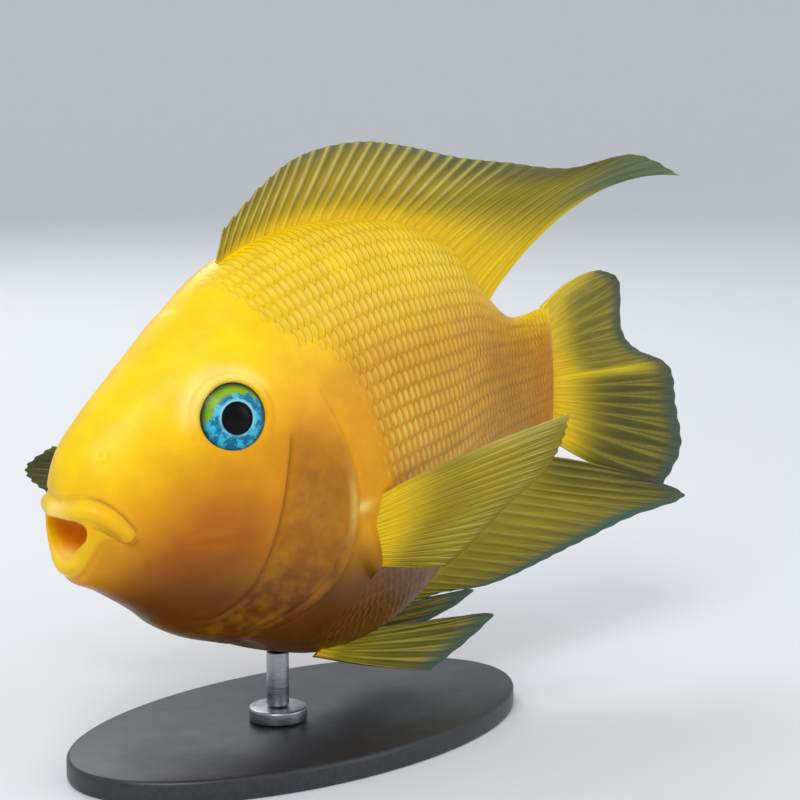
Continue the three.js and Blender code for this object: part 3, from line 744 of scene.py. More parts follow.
def skin_material(settings):
    made, tree = material("wet skin")
    colour = marked(tree, settings)
    # The gill cover is mottled: soft paler clouds over brown, in two sizes
    large, small = times(tree, noise(tree, 190, 2), 0.65), times(tree, noise(tree, 520, 3), 0.35)
    clouds = ranged(tree, maths(tree, "ADD", large, small), 0.36, 0.7, 0.0, 0.36)
    colour = mixed(tree, times(tree, clouds, mask(tree, "gill")), colour, rgba(settings.flank))
    blotch = ranged(tree, noise(tree, 300, 4, 0.6), 0.55, 0.32)
    colour = mixed(tree, times(tree, blotch, mask(tree, "gill"), 0.18), colour, rgba(settings.under))
    height = placed(tree, "flesh", {"Dimples": 0.6, "Pores": 0.4})["Height"]
    surfaced(tree, {
        "Base Color": colour,
        "Roughness": uneven(tree, 220, 0.32, 0.46),
        "Normal": bumped(tree, height, 0.3, 0.3 * MM),
        "Coat Weight": uneven(tree, 90, 0.04, 0.12, 0.35),
        **FLESH,
    })
    return made


def scale_material(settings, skin_settings):
    """The skin's colours, with painted shade at each scale's root where it comes out from under the next,
    and a short pale dash near its edge, partly pale colour and partly painted highlight.
    """
    made, tree = material("scales")
    colour = marked(tree, skin_settings)
    edge = mask(tree, "edge")
    upward = maths(tree, "SUBTRACT", mask(tree, "upward"), 1.0)
    # Painted shade at the root, where the scale comes out from under the next
    seam = times(tree, ranged(tree, edge, 0.62, 0.46), mask(tree, "seam"), 0.3)
    colour = mixed(tree, seam, colour, rgba(settings.seam))
    # A pale dash, partly the scale's pale colour and partly painted highlight
    leaning = maths(tree, "ADD", edge, times(tree, upward, 0.3))
    dash = times(
        tree, ranged(tree, leaning, 0.56, 0.76), ranged(tree, leaning, 1.04, 0.86),
        ranged(tree, maths(tree, "ABSOLUTE", upward), 0.36, 0.16), mask(tree, "pale"), 0.75,
    )
    colour = mixed(tree, dash, colour, rgba(settings.pale))
    height = placed(tree, "flesh", {"Dimples": 0.3, "Pores": 0.7})["Height"]
    surfaced(tree, {
        "Base Color": colour,
        "Roughness": uneven(tree, 500, 0.32, 0.46),
        "Normal": bumped(tree, height, 0.3, 0.2 * MM),
        "Coat Weight": uneven(tree, 90, 0.03, 0.1, 0.35),
        **FLESH,
    })
    return made


def fin_material(settings):
    """A fin: its tones are laid by masks, with fine streaks along the rays and a thin edge."""
    made, tree = material("fin")
    colour = rgba(settings.root)
    for name in FIN_TONES:
        colour = mixed(tree, mask(tree, name + "_tone"), colour, rgba(getattr(settings, name)))
    along = mask(tree, "along")
    stretched = {"X": times(tree, mask(tree, "fan"), 3.4), "Y": times(tree, along, 3.0)}
    fan = node(tree, "ShaderNodeCombineXYZ", stretched).outputs[0]
    colour = shaded(tree, colour, noise(tree, 1.0, 4, 0.65, fan), 0.3, 0.7, 0.78, 1.16)
    web = maths(tree, "SUBTRACT", 1.0, mask(tree, "ray"))
    clear = times(tree, web, ranged(tree, along, 0.6, 1.0, 0.0, 0.16))
    height = placed(tree, "flesh", {"Dimples": 0.2, "Pores": 0.5})["Height"]
    surfaced(tree, {
        "Base Color": colour,
        "Roughness": uneven(tree, 260, 0.36, 0.52),
        "Alpha": maths(tree, "SUBTRACT", 1.0, clear),
        "Normal": bumped(tree, height, 0.25, 0.2 * MM),
        "Coat Weight": uneven(tree, 90, 0.02, 0.08, 0.35),
        "Coat Roughness": 0.2,
        "Specular IOR Level": 0.2,
        "Subsurface Weight": 0.1,
        "Subsurface Radius": (1.0, 0.8, 0.2),
        "Subsurface Scale": 1.0 * MM,
    })
    return made


def eye_material(settings):
    """Iris and pupil on the eye's own UV map, with the pupil in its middle and up at its top."""
    made, tree = material("eye")
    uv = node(tree, "ShaderNodeUVMap", uv_map="Iris").outputs["UV"]
    to_middle = {0: uv, 1: (-0.5, -0.5, 0)}
    centred = node(tree, "ShaderNodeVectorMath", to_middle, operation="ADD").outputs[0]
    parts = node(tree, "ShaderNodeSeparateXYZ", {0: centred}).outputs
    radius = node(tree, "ShaderNodeVectorMath", {0: centred}, operation="LENGTH").outputs["Value"]
    radius = times(tree, radius, 2.0)
    grain = noise(tree, 60, 4, 0.7, centred)
    mottle = maths(tree, "ADD", noise(tree, 6, 3, 0.6, centred), ranged(tree, grain, 0.3, 0.7, -0.07, 0.07))
    colour = mixed(tree, ranged(tree, mottle, 0.47, 0.53), rgba(settings.blue), rgba(settings.cyan))
    # The green upper part leans forward and has a ragged border
    height = maths(tree, "SUBTRACT", parts["Y"], times(tree, parts["X"], 0.35))
    height = maths(tree, "ADD", height, ranged(tree, mottle, 0.3, 0.7, -0.14, 0.14))
    green = times(tree, ranged(tree, height, 0.1, 0.22), ranged(tree, radius, 0.56, 0.7))
    colour = mixed(tree, green, colour, rgba(settings.green))
    spots = times(tree, ranged(tree, grain, 0.55, 0.68), ranged(tree, radius, 0.6, 0.85), 0.6)
    colour = mixed(tree, spots, colour, rgba(settings.limb))
    # A painted highlight round the pupil, stronger on its upper side
    ring = ranged(tree, radius, settings.pupil + 0.1, settings.pupil + 0.03, 0.0, 0.8)
    ring = times(tree, ring, ranged(tree, height, -0.25, 0.1, 0.35, 1.0))
    colour = mixed(tree, ring, colour, rgba(settings.ring))
    colour = mixed(tree, ranged(tree, radius, 0.72, 0.92), colour, rgba(settings.limb))
    inside = ranged(tree, radius, settings.pupil + 0.012, settings.pupil - 0.012)
    colour = mixed(tree, inside, colour, rgba(settings.black))
    surfaced(tree, {
        "Base Color": colour,
        "Roughness": ranged(tree, grain, 0.3, 0.7, 0.24, 0.38),
        "Specular IOR Level": 0.12,
        "Coat Weight": 0.16,
        "Coat Roughness": 0.03,
        "Coat IOR": 1.4,
    })
    return made


def paint_material(settings):
    made, tree = material("satin paint")
    speckle = ranged(tree, noise(tree, 900, 2), 0.35, 0.65)
    lighter = tuple(min(1, value * 1.35) for value in settings.paint)
    surfaced(tree, {
        "Base Color": mixed(tree, speckle, rgba(settings.paint), rgba(lighter)),
        "Roughness": uneven(tree, 60, 0.34, 0.46),
        "Normal": bumped(tree, noise(tree, 2600, 2), 0.18, 0.1 * MM),
    })
    return made


def steel_material(settings):
    """Steel with fine lines brushed round the upright rod and foot."""
    made, tree = material("brushed steel")
    where = node(tree, "ShaderNodeTexCoord").outputs["Object"]
    stretched = node(tree, "ShaderNodeMapping", {"Vector": where, "Scale": (1, 1, 26)}).outputs[0]
    lines = noise(tree, 260, 3, 0.6, stretched)
    darker = tuple(value * 0.7 for value in settings.steel)
    surfaced(tree, {
        "Base Color": mixed(tree, ranged(tree, lines, 0.3, 0.7), rgba(darker), rgba(settings.steel)),
        "Metallic": 1.0,
        "Roughness": ranged(tree, lines, 0.3, 0.7, 0.24, 0.4),
        "Normal": bumped(tree, lines, 0.12, 0.1 * MM),
    })
    return made


# The animal's colours, with painted shade and highlights


def lip_reach(points, line, middle):
    """Distance of points from a lip's centre line, in radii of the lip."""
    s, z, y = unplace(points)
    here = np.stack([s, z, np.abs(y)], axis=-1)
    found = np.full(len(points), np.inf)
    for row in refined([*line, middle], 5):
        found = np.minimum(found, np.linalg.norm(here - row[:3], axis=1) / row[3])
    return found


def mouth_spread(z):
    """How wide the hollow of the mouth is at z, over its middle width."""
    level = np.clip((z - MOUTH["place"][1]) / MOUTH["across"][2], -1, 1)
    return MOUTH["narrow"] + (MOUTH["wide"] - MOUTH["narrow"]) * (level + 1) / 2


def mouth_reach(s, z, y):
    """Distance from the middle of the mouth's hollow, 1 at its wall."""
    ms, mz, _ = MOUTH["place"]
    deep, wide, high = MOUTH["across"]
    return np.sqrt(((s - ms) / deep) ** 2 + (y / wide / mouth_spread(z)) ** 2 + ((z - mz) / high) ** 2)


def masks_at(points):
    """The masks that place each colour, painted shade and highlight, at points on or near the skin."""
    s, z, y = unplace(points)
    side = np.abs(y)
    outer = smooth(side, 5, 9)
    # Partly the cheek's own deeper orange, partly painted shade under and behind the eye
    cheek = spot("under eye", s, z) + spot("behind eye", s, z) * 0.5 + spot("low cheek", s, z) * 0.4
    groove, groove_along = from_line(s, z, refined(COVER_GROOVE))
    edge, _ = from_line(s, z, refined(COVER_EDGE))
    upper = lip_reach(points, UPPER_LIP, UPPER_LIP_MIDDLE)
    lower = lip_reach(points, LOWER_LIP, LOWER_LIP_MIDDLE)
    hollow = smooth(mouth_reach(s, z, y), 1.2, 1.04)
    mouth = hollow * smooth(s, 1.8, 4.4)
    painted = smooth(np.minimum(upper, lower), 1.55, 1.1) * (0.45 + 0.45 * smooth(side, 8, 3))
    belly = value_on(UNDERSIDE, s)
    rows = np.abs(np.sin((z + 1.5) * 2 * math.pi / STREAK_GAP + STREAK_FAN * (s - 70) * z))
    streaked = smooth(s, 56, 76) * smooth(s, 102, 96) * smooth(z, 16, 8)
    over_lip = hill(upper, 1.5, 0.16) * smooth(s, 1.5, 3.5) * (1 - hollow)
    eye_s, eye_z, _ = EYE["place"]
    around_eye = np.hypot(s - eye_s, z - eye_z)
    above_eye = smooth(z - eye_z - 0.35 * (s - eye_s), 0, 5)
    # Painted highlights on the rim over the eye and the upper lip's tip; the lower lip's inside is pale
    pale = [
        hill(around_eye, 6.6, 1.2) * above_eye * outer * 0.8,
        hill(edge, -1.2, 0.7) * hill(z, -9, 5) * outer * 0.45,
        spot("fin knob", s, z) * smooth(side, 6, 10) * 0.8,
        spot("inner lip", s, z) * hill(y, 0.3, 2.4) * 0.85,
        smooth(upper, 1.5, 1.0) * hill(side, 0, 2.6) * smooth(s, 2, 0.2) * 0.7,
    ]
    return {
        "flank": smooth(s, 30, 52) * smooth(z, 26, 12) * 0.9,
        "back": smooth(z, value_on(BACK_LOW, s), value_on(BACK_HIGH, s)),
        "cheek": np.clip(cheek, 0, 0.95),
        # Deeper towards the cover's lower part: partly its own brown, partly painted shade
        "gill": smooth(groove, -1.2, 1.4) * smooth(-edge, -0.4, 1.4) * smooth(z, 8, -4) * 0.85,
        # Darker towards the bottom: partly the deeper orange of throat and belly, partly painted shade
        "under": smooth(z, belly, belly - 14) * smooth(s, 0, 8) * 0.95,
        "stem": smooth(s, 66, 92) * smooth(z, 15, 3) * 0.75,
        "streak": smooth(rows, 0.4, 0.05) * streaked * 0.5,
        "band": hill(s, 99, 2.8) * smooth(z, 12, 5) * 0.65,
        "lips": np.maximum(painted, hollow * 0.6) * (1 - mouth),
        # Painted shade in the groove in front of the gill cover and in the groove over the upper lip
        "crease": np.maximum(
            hill(groove, 0.1, 0.34) * smooth(groove_along, 0.02, 0.2) * smooth(side, 5, 8) * 0.6,
            over_lip * 0.5,
        ),
        "mouth": mouth,
        "brow": np.max(pale, axis=0),
    }


def mark_all(piece, points):
    for name, values in masks_at(points).items():
        mark(piece, name, values)


# Skin


def body_form():
    """A sphere whose rings are laid onto the body's cross-sections."""
    rings, segments = 260, 220
    deselect()
    bpy.ops.mesh.primitive_uv_sphere_add(segments=segments, ring_count=rings, radius=1)
    piece = named("skin")
    points = read(piece)
    ring = np.rint(np.arccos(np.clip(points[:, 2], -1, 1)) / math.pi * rings)
    t = np.minimum(ring / (rings - 1), 1) * LAST_SECTION
    laid = body(t, np.arctan2(points[:, 1], points[:, 0]))
    laid[ring == rings] = laid[ring == rings - 1].mean(axis=0)
    write(piece, laid)
    outward(piece)
    return piece


def ball(name, form, side, turn=0.0):
    """A ball with the place and the size across of a form on one side of the animal."""
    s, z, y = form["place"]
    deselect()
    bpy.ops.mesh.primitive_uv_sphere_add(
        segments=32, ring_count=20, radius=1,
        location=place(s, z, y * side), rotation=(0, turn - NOSE_DOWN, 0),
        scale=[value * UNIT for value in form["across"]],
    )
    return named(name)


def lip_form(name, line, middle):
    """A lip as a round bar along its curve, thinner towards the corners of the mouth."""
    left = [[s, z, -y, radius] for s, z, y, radius in line]
    rows = refined([*left, middle, *line[::-1]], 6)
    deselect()
    bpy.ops.curve.primitive_nurbs_path_add()
    path = bpy.context.object
    path.data.splines.clear()
    spline = path.data.splines.new("POLY")
    spline.points.add(len(rows) - 1)
    for point, row, where in zip(spline.points, rows, place(rows[:, 0], rows[:, 1], rows[:, 2])):
        point.co = (*where, 1)
        point.radius = row[3]
    path.data.dimensions = "3D"
    path.data.bevel_depth = UNIT
    path.data.bevel_resolution = 5
    path.data.use_fill_caps = True
    bpy.ops.object.convert(target="MESH")
    return named(name)


def orbit_form(name, side):
    """The fleshy rim round an eye."""
    deselect()
    bpy.ops.mesh.primitive_torus_add(
        major_radius=ORBIT["radius"] * UNIT, minor_radius=ORBIT["tube"] * UNIT,
        major_segments=64, minor_segments=16, location=(0, 0, 0),
    )
    piece = named(name)
    lift = Matrix.Translation((0, 0, ORBIT["lift"] * UNIT))
    piece.data.transform(eye_matrix(side) @ lift)
    return piece


def carve(piece, settings):
    """Moves the skin's surface for its grooves, edges, folds and pits."""
    points, outwards = read(piece), normals(piece)
    s, z, y = unplace(points)
    side = np.abs(y)
    flat = smooth(side, 5.0, 8.0)
    out = np.zeros(len(points))
    edge, _ = from_line(s, z, refined(SCALE_EDGE))
    out -= settings.depth * (0.2 + 0.8 * smooth(edge, 0.0, 2.0))
    # The fine groove in front of the gill cover, with its front bank a little raised
    groove, along = from_line(s, z, refined(COVER_GROOVE))
    ends = smooth(along, 0.0, 0.12) * smooth(along, 1.0, 0.75)
    out -= settings.groove * hill(groove, 0.1, 0.36) * ends * flat
    out += RELIEF["groove bank"] * hill(groove, -1.1, 1.0) * ends * flat
    # The gill cover's free rear edge stands proud and drops to the flank
    cover, along = from_line(s, z, refined(COVER_EDGE))
    ends = smooth(along, 0.12, 0.38) * smooth(along, 1.0, 0.82)
    proud = smooth(cover, 0.35, -0.25) * smooth(cover, -7.0, -0.6)
    out += settings.cover * proud * ends * flat
    out -= RELIEF["cover drop"] * hill(cover, 0.55, 0.5) * ends * flat
    # A second fold inside that edge
    out -= RELIEF["cover fold"] * hill(cover, -2.1, 0.4) * ends * smooth(along, 0.25, 0.5) * flat
    out += RELIEF["fold bank"] * hill(cover, -2.9, 0.5) * ends * smooth(along, 0.25, 0.5) * flat
    # Soft creases that fan back from the corner of the mouth over the cheek
    corner_s, corner_z = MOUTH_CORNER
    fan = np.arctan2(z - corner_z, s - corner_s)
    reach = np.hypot(z - corner_z, s - corner_s)
    creases = np.cos(fan * 34) * hill(fan, -0.08, 0.24)
    out += RELIEF["cheek"] * creases * smooth(reach, 6, 11) * smooth(reach, 24, 15) * smooth(side, 5, 7)
    # Folds of the throat skin along the rays under the gill cover
    folds = np.sin((z + 0.35 * s) * 1.9) * smooth(z, -21, -25) * smooth(s, 10, 16) * smooth(s, 33, 27)
    out += RELIEF["throat"] * folds
    # The groove over the upper lip and the softer one under the lower lip
    outside = smooth(mouth_reach(s, z, y), 1.1, 1.3)
    upper = lip_reach(points, UPPER_LIP, UPPER_LIP_MIDDLE)
    lower = lip_reach(points, LOWER_LIP, LOWER_LIP_MIDDLE)
    out -= RELIEF["over lip"] * hill(upper, 1.5, 0.26) * outside * smooth(z, -9.5, -7.5)
    out += RELIEF["upper lip"] * smooth(upper, 1.15, 0.8) * outside
    out -= RELIEF["under lip"] * hill(lower, 1.8, 0.4) * outside * smooth(z, -7.5, -9.5)
    # The jaw line from the corner of the mouth down behind the chin
    jaw, along = from_line(s, z, JAW_LINE)
    out -= RELIEF["jaw line"] * hill(jaw, 0, 0.6) * smooth(along, 1.0, 0.5)
    # The nostrils, each with a low rim
    nostril_s, nostril_z = NOSTRIL["place"]
    pit = np.hypot(s - nostril_s, z - nostril_z)
    front = smooth(side, 4.5, 6)
    out -= RELIEF["nostril"] * hill(pit, 0, NOSTRIL["radius"] * 0.62) * front
    out += RELIEF["nostril rim"] * hill(pit, NOSTRIL["radius"] * 1.25, 0.4) * front
    # The swelling in front of the eye and the hollow under it
    out += RELIEF["snout"] * hill(s, 18, 3.5) * hill(z, 12, 3) * flat
    out -= RELIEF["under eye"] * hill(s, 23, 4.5) * hill(z, -1.6, 1.6) * flat
    write(piece, points + outwards * out[:, None])


def thin_out(skin):
    """Fewer faces under the scales, where the skin hardly shows."""
    s, z, _ = unplace(read(skin))
    edge, _ = from_line(s, z, refined(SCALE_EDGE))
    hidden = skin.vertex_groups.new(name="under scales")
    hidden.add(np.nonzero(edge > THINNED_FROM)[0].tolist(), 1.0, "REPLACE")
    modified(
        skin, "DECIMATE", decimate_type="COLLAPSE", ratio=SKIN_KEPT, vertex_group=hidden.name,
        vertex_group_factor=4.0,
    )
    skin.vertex_groups.clear()


def build_skin(settings):
    """Body, lips, eye rims and fin pads fused into one skin, with the mouth cut and the relief carved."""
    pieces = [body_form(), lip_form("upper_lip", UPPER_LIP, UPPER_LIP_MIDDLE)]
    pieces.append(lip_form("lower_lip", LOWER_LIP, LOWER_LIP_MIDDLE))
    for side in SIDES.values():
        pieces.append(orbit_form("orbit", side))
        pieces.append(ball("lip_fold", LIP_FOLD, side))
        pieces.append(ball("fin_pad", FIN_PAD, side, FIN_PAD_LEAN))
    skin = joined(pieces)
    modified(skin, "REMESH", mode="VOXEL", voxel_size=settings.voxel)
    mouth = ball("mouth_cut", MOUTH, RIGHT)
    s, z, y = unplace(read(mouth))
    write(mouth, place(s, z, y * mouth_spread(z)))
    modified(skin, "BOOLEAN", operation="DIFFERENCE", object=mouth, solver="EXACT")
    bpy.data.objects.remove(mouth)
    modified(skin, "REMESH", mode="VOXEL", voxel_size=settings.voxel)
    modified(skin, "SMOOTH", factor=0.5, iterations=7)
    carve(skin, settings)
    thin_out(skin)
    mark_all(skin, read(skin))
    skin.name = skin.data.name = "skin"
    return skin


# Scales


def one_scale():
    """One scale of unit size: its root at x = 0, its free edge at x = 1, its height in z."""
    broader, dome = 0.16, 0.6
    deselect()
    bpy.ops.mesh.primitive_circle_add(vertices=12, radius=0.5, fill_type="NGON", location=(0.5, 0, 0))
    piece = named("scale")
    edit_all()
    bpy.ops.mesh.extrude_region_move(TRANSFORM_OT_translate={"value": (0, 0, 1)})
    for width in (0.11, 0.17):
        bpy.ops.mesh.inset(thickness=width, depth=0)
    bpy.ops.mesh.poke()
    bpy.ops.mesh.select_all(action="SELECT")
    bpy.ops.mesh.normals_make_consistent(inside=False)
    bpy.ops.object.mode_set(mode="OBJECT")
    points = read(piece)
    centre = np.hypot(points[:, 0] - 0.5, points[:, 1])
    points[:, 1] *= 1 + broader * np.sin(np.clip(points[:, 0], 0, 1) * math.pi)
    points[:, 2] = np.where(points[:, 2] > 0.5, 1 + dome * smooth(centre, 0.5, 0.1), 0)
    write(piece, points)
    return piece


def flank_rows(settings):
    """Where the scales of one side sit: sections t, angles round the body, and the local sizes."""
    t = np.linspace(*SCALED_SECTIONS, 1200)
    angles = np.linspace(0.02, math.pi - 0.02, 160)
    grid = body(np.repeat(t, len(angles)), np.tile(angles, len(t))).reshape(len(t), len(angles), 3)
    steps = np.linalg.norm(np.diff(grid, axis=1), axis=2)
    arc = np.concatenate([np.zeros((len(t), 1)), np.cumsum(steps, axis=1)], axis=1)
    middle = arc[:, len(angles) // 2]
    girth = arc[:, -1]
    # The rows draw together where the body is slimmer
    spread = 0.44 + 0.56 * girth / girth.max()
    pitch = settings.pitch * value_on(SCALE_PITCH, t)
    found = []
    highest = int(girth.max() / settings.row) + 2
    order = np.arange(len(t))
    for row in range(-highest, highest):
        reach = middle - row * settings.row * spread
        inside = (reach > 0.2 * settings.row) & (reach < girth - 0.1 * settings.row)
        angle = np.array([np.interp(m, line, angles) for m, line in zip(reach, arc)])
        gaps = np.linalg.norm(np.diff(body(t, angle), axis=0), axis=1)
        phase = np.concatenate([[0], np.cumsum(gaps / pitch[1:])])
        phase -= np.interp(8.0, t, phase)
        phase += 0.5 * (row % 2)
        for count in range(math.ceil(phase[0]), math.floor(phase[-1]) + 1):
            at = np.interp(count, phase, order)
            if inside[int(round(at))]:
                high = settings.row * np.interp(at, order, spread)
                found.append((*(np.interp(at, order, values) for values in (t, angle, pitch)), high))
    return found


def build_scales(name, side, settings, skin, random):
    """One mesh of all the scales of a side, each laid onto the skin by its own points."""
    pattern = one_scale()
    shape = read(pattern)
    faces = [list(face.vertices) for face in pattern.data.polygons]
    bpy.data.objects.remove(pattern)
    surface = tree_of(skin)
    line = refined(SCALE_EDGE)
    pad_s, pad_z, _ = FIN_PAD["place"]
    bare_long, bare_high = FIN_PAD["bare"]
    points, polygons, strengths, uv = [], [], [], []
    for t, angle, pitch, high in flank_rows(settings):
        turned = angle if side == LEFT else -angle
        centre, ahead = body(np.array([t, t + 0.05]), np.array([turned, turned]))
        s, z, _ = unplace(centre[None])
        behind, _ = from_line(s, z, line)
        s, z, behind = s[0], z[0], behind[0]
        pad = np.hypot((s - pad_s) / bare_long, (z - pad_z) / bare_high)
        if behind < FIRST_SCALES or s > LAST_SCALES or pad < 1:
            continue
        grown = float(smooth(behind, FIRST_SCALES, 12.0))
        near, normal, _, _ = surface.find_nearest(Vector(centre))
        along = Vector(ahead - centre)
        along = (along - normal * along.dot(normal)).normalized()
        across = normal.cross(along)
        breast = float(smooth(z, -18, -30) * smooth(s, 62, 44))
        size = (0.72 + 0.28 * grown) * (1 - 0.22 * breast) * random.uniform(0.96, 1.04)
        long, wide = pitch * settings.overlap * size, high * 1.5 * size
        lift = settings.lift * (0.25 + 0.75 * grown) * random.uniform(0.85, 1.1)
        start = near - along * long * 0.45
        first = len(points)
        root = (t / LAST_SECTION, 0.5 + 0.25 * side * angle / math.pi)
        for x, side_way, up in shape:
            where = start + along * (x * long) + across * (side_way * wide)
            base, facing, _, _ = surface.find_nearest(where)
            height = lift * x + settings.thickness * (up - 1) * 0.8 - settings.sink
            points.append(base + facing * height)
            uv.append((root[0] + (x - 0.5) * PATCH, root[1] + side_way * PATCH))
        polygons.extend([first + index for index in face] for face in faces)
        strengths.append((0.1 + 0.9 * grown) * random.uniform(0.6, 1.0))
    mesh = bpy.data.meshes.new(name)
    mesh.from_pydata(points, [], polygons)
    mesh.update()
    piece = bpy.data.objects.new(name, mesh)
    bpy.context.scene.collection.objects.link(piece)
    lay_uv(piece, "OFBake", uv)
    where = read(piece)
    mark_all(piece, where)
    mark(piece, "edge", np.tile(shape[:, 0], len(strengths)))
    # Kept above 0 here, and the material takes the 1 off again
    mark(piece, "upward", 1 - side * np.tile(shape[:, 1], len(strengths)))
    s, z, _ = unplace(where)
    strength = np.repeat(strengths, len(shape))
    # The dashes, partly painted highlight, show best along the back and on the middle of the side and
    # fade out low on the body
    light = np.maximum(hill(z, 21, 10), hill(s, 57, 17) * hill(z, -1, 16))
    light = (0.2 + 0.8 * light) * smooth(z, -27, -12) * smooth(s, 88, 72)
    mark(piece, "pale", strength * light)
    # Painted shade at each scale's root, fading out high on the back
    mark(piece, "seam", strength * smooth(z, 31, 24))
    return piece


# Fins. Their tones are strengths from 0 to 1, where u runs over the fan of rays, w from root to tip,
# aside is the distance from the nearest ray in gaps, and ridge is 1 on a ray


def dorsal_tones(u, w, aside, ridge):
    """Tones of the dorsal fin: yellow spines with dark behind each, grey soft rays, a blue edge."""
    spiny = smooth(u, 0.74, 0.58)
    streaked = spiny * smooth(w, 0.22, 0.6) * smooth(w, 1.1, 0.97)
    soft_rays = ridge * (1 - spiny) * smooth(w, 0.1, 0.3)
    front_edge = smooth(w, 0.88, 0.98) * smooth(u, 0.08, 0.16) * smooth(u, 0.6, 0.5)
    return {
        "olive": smooth(w, 0.08, 0.5) * (0.7 + 0.2 * smooth(u, 0.5, 0.8)),
        "slate": smooth(w, 0.55, 0.98) * (0.35 + 0.45 * smooth(u, 0.35, 0.6)) * smooth(u, 1.0, 0.9),
        "dark": hill(aside, 0.26, 0.15) * smooth(w, 0.12, 0.35) * (0.35 + 0.2 * spiny),
        "blue": front_edge * 0.45 + smooth(u, 0.86, 0.96) * smooth(w, 0.35, 0.7) * 0.7,
        "stripe": hill(u, 1.0, 0.025) * smooth(w, 0.05, 0.2) * smooth(w, 0.7, 0.4) * 0.6,
        "pale": hill(aside, -0.04, 0.2) * streaked * 0.7 + soft_rays * 0.2,
    }


def caudal_tones(u, w, aside, ridge):
    """Tones of the tail fin: olive above, darker below, with a bright ray between."""
    lower = smooth(u, 0.57, 0.63)
    web = 1 - ridge
    dark_below = lower * smooth(w, 0.12, 0.6) * (0.5 + 0.3 * web)
    dark_above = (1 - lower) * smooth(w, 0.25, 0.6) * (0.2 + 0.15 * web)
    upper_edge = hill(u, 0.0, 0.07) * smooth(w, 0.85, 0.55)
    return {
        "olive": smooth(w, 0.08, 0.48) * smooth(u, 0.0, 0.1) * (0.85 + 0.1 * web),
        "slate": smooth(w, 0.8, 0.95) * (0.85 - 0.4 * lower),
        "dark": dark_below + dark_above,
        "blue": smooth(w, 0.86, 0.98) * (0.25 + 0.35 * lower),
        "stripe": hill(u, 0.555, 0.02) * smooth(w, 1.0, 0.7) * 0.7 + upper_edge * 0.8,
        "pale": ridge * smooth(w, 0.3, 0.5) * smooth(w, 0.98, 0.85) * 0.14,
    }


def anal_tones(u, w, aside, ridge):
    """Tones of the anal fin: olive with a dark rear and a blue edge."""
    rear = smooth(u, 0.7, 0.92)
    return {
        "olive": smooth(w, 0.0, 0.3) * 0.85,
        "slate": smooth(w, 0.5, 0.95) * 0.45,
        "dark": rear * smooth(w, 0.1, 0.4) * 0.5 + (1 - ridge) * smooth(w, 0.2, 0.5) * 0.2,
        "blue": smooth(w, 0.84, 0.96) * (0.85 - 0.4 * rear),
        "pale": ridge * smooth(w, 0.15, 0.4) * smooth(w, 0.95, 0.8) * 0.16,
    }


def pectoral_tones(u, w, aside, ridge):
    """Tones of the near pectoral fin: olive, with a yellow band at its root and fine pale rays."""
    rays = ridge * smooth(w, 0.1, 0.3) * smooth(w, 1.0, 0.85)
    upper_edge = hill(u, 0.0, 0.07) * smooth(w, 0.3, 0.7)
    return {
        "olive": smooth(w, 0.14, 0.5) * 0.8,
        "slate": smooth(w, 0.7, 1.0) * 0.35,
        "dark": (1 - ridge) * smooth(w, 0.15, 0.4) * 0.2,
        "stripe": hill(w, 0.1, 0.05) * 0.7,
        "pale": rays * 0.55 + hill(w, 0.0, 0.05) * 0.7 + upper_edge * 0.4,
    }


def painted_shade_tones(u, w, aside, ridge):
    """Tones of the far pectoral fin: the near fin's tones, darkened as painted shade."""
    tones = pectoral_tones(u, w, aside, ridge)
    tones["dark"] = smooth(w, 0.05, 0.3) * 0.65
    tones["slate"] = smooth(w, 0.3, 0.7) * 0.8
    tones["pale"] *= 0.4
    return tones


def pelvic_tones(u, w, aside, ridge):
    """Tones of a pelvic fin: dark olive with bluish tips."""
    return {
        "olive": smooth(w, 0.0, 0.2) * 0.9,
        "dark": smooth(w, 0.15, 0.6) * (0.25 + 0.35 * (1 - ridge)),
        "blue": smooth(w, 0.75, 0.96) * 0.75,
        "pale": ridge * smooth(w, 0.15, 0.4) * smooth(w, 0.95, 0.8) * 0.25,
    }


def midline_rays(keys, column):
    """Key rays whose roots lie a little inside the back (column 0) or the belly (column 2)."""
    sink = -ROOT_DEPTH if column == 0 else ROOT_DEPTH
    return [([base, midline(base, column) + sink, 0], tip, bow) for base, tip, bow in keys]


def paired_rays(roots, tips):
    return [(root, tip, bow) for root, (tip, bow) in zip(roots, tips)]


def ray_rows(keys, side):
    """Root, middle and tip of each key ray, in the part's frame."""
    rows = []
    for root, tip, bow in keys:
        root, tip, bow = (np.array(value or [0, 0, 0], float) for value in (root, tip, bow))
        middle = (root + tip) / 2 + bow
        points = [place(p[0], p[1], p[2] * side) for p in (root, middle, tip)]
        rows.append(np.concatenate(points))
    return np.array(rows)


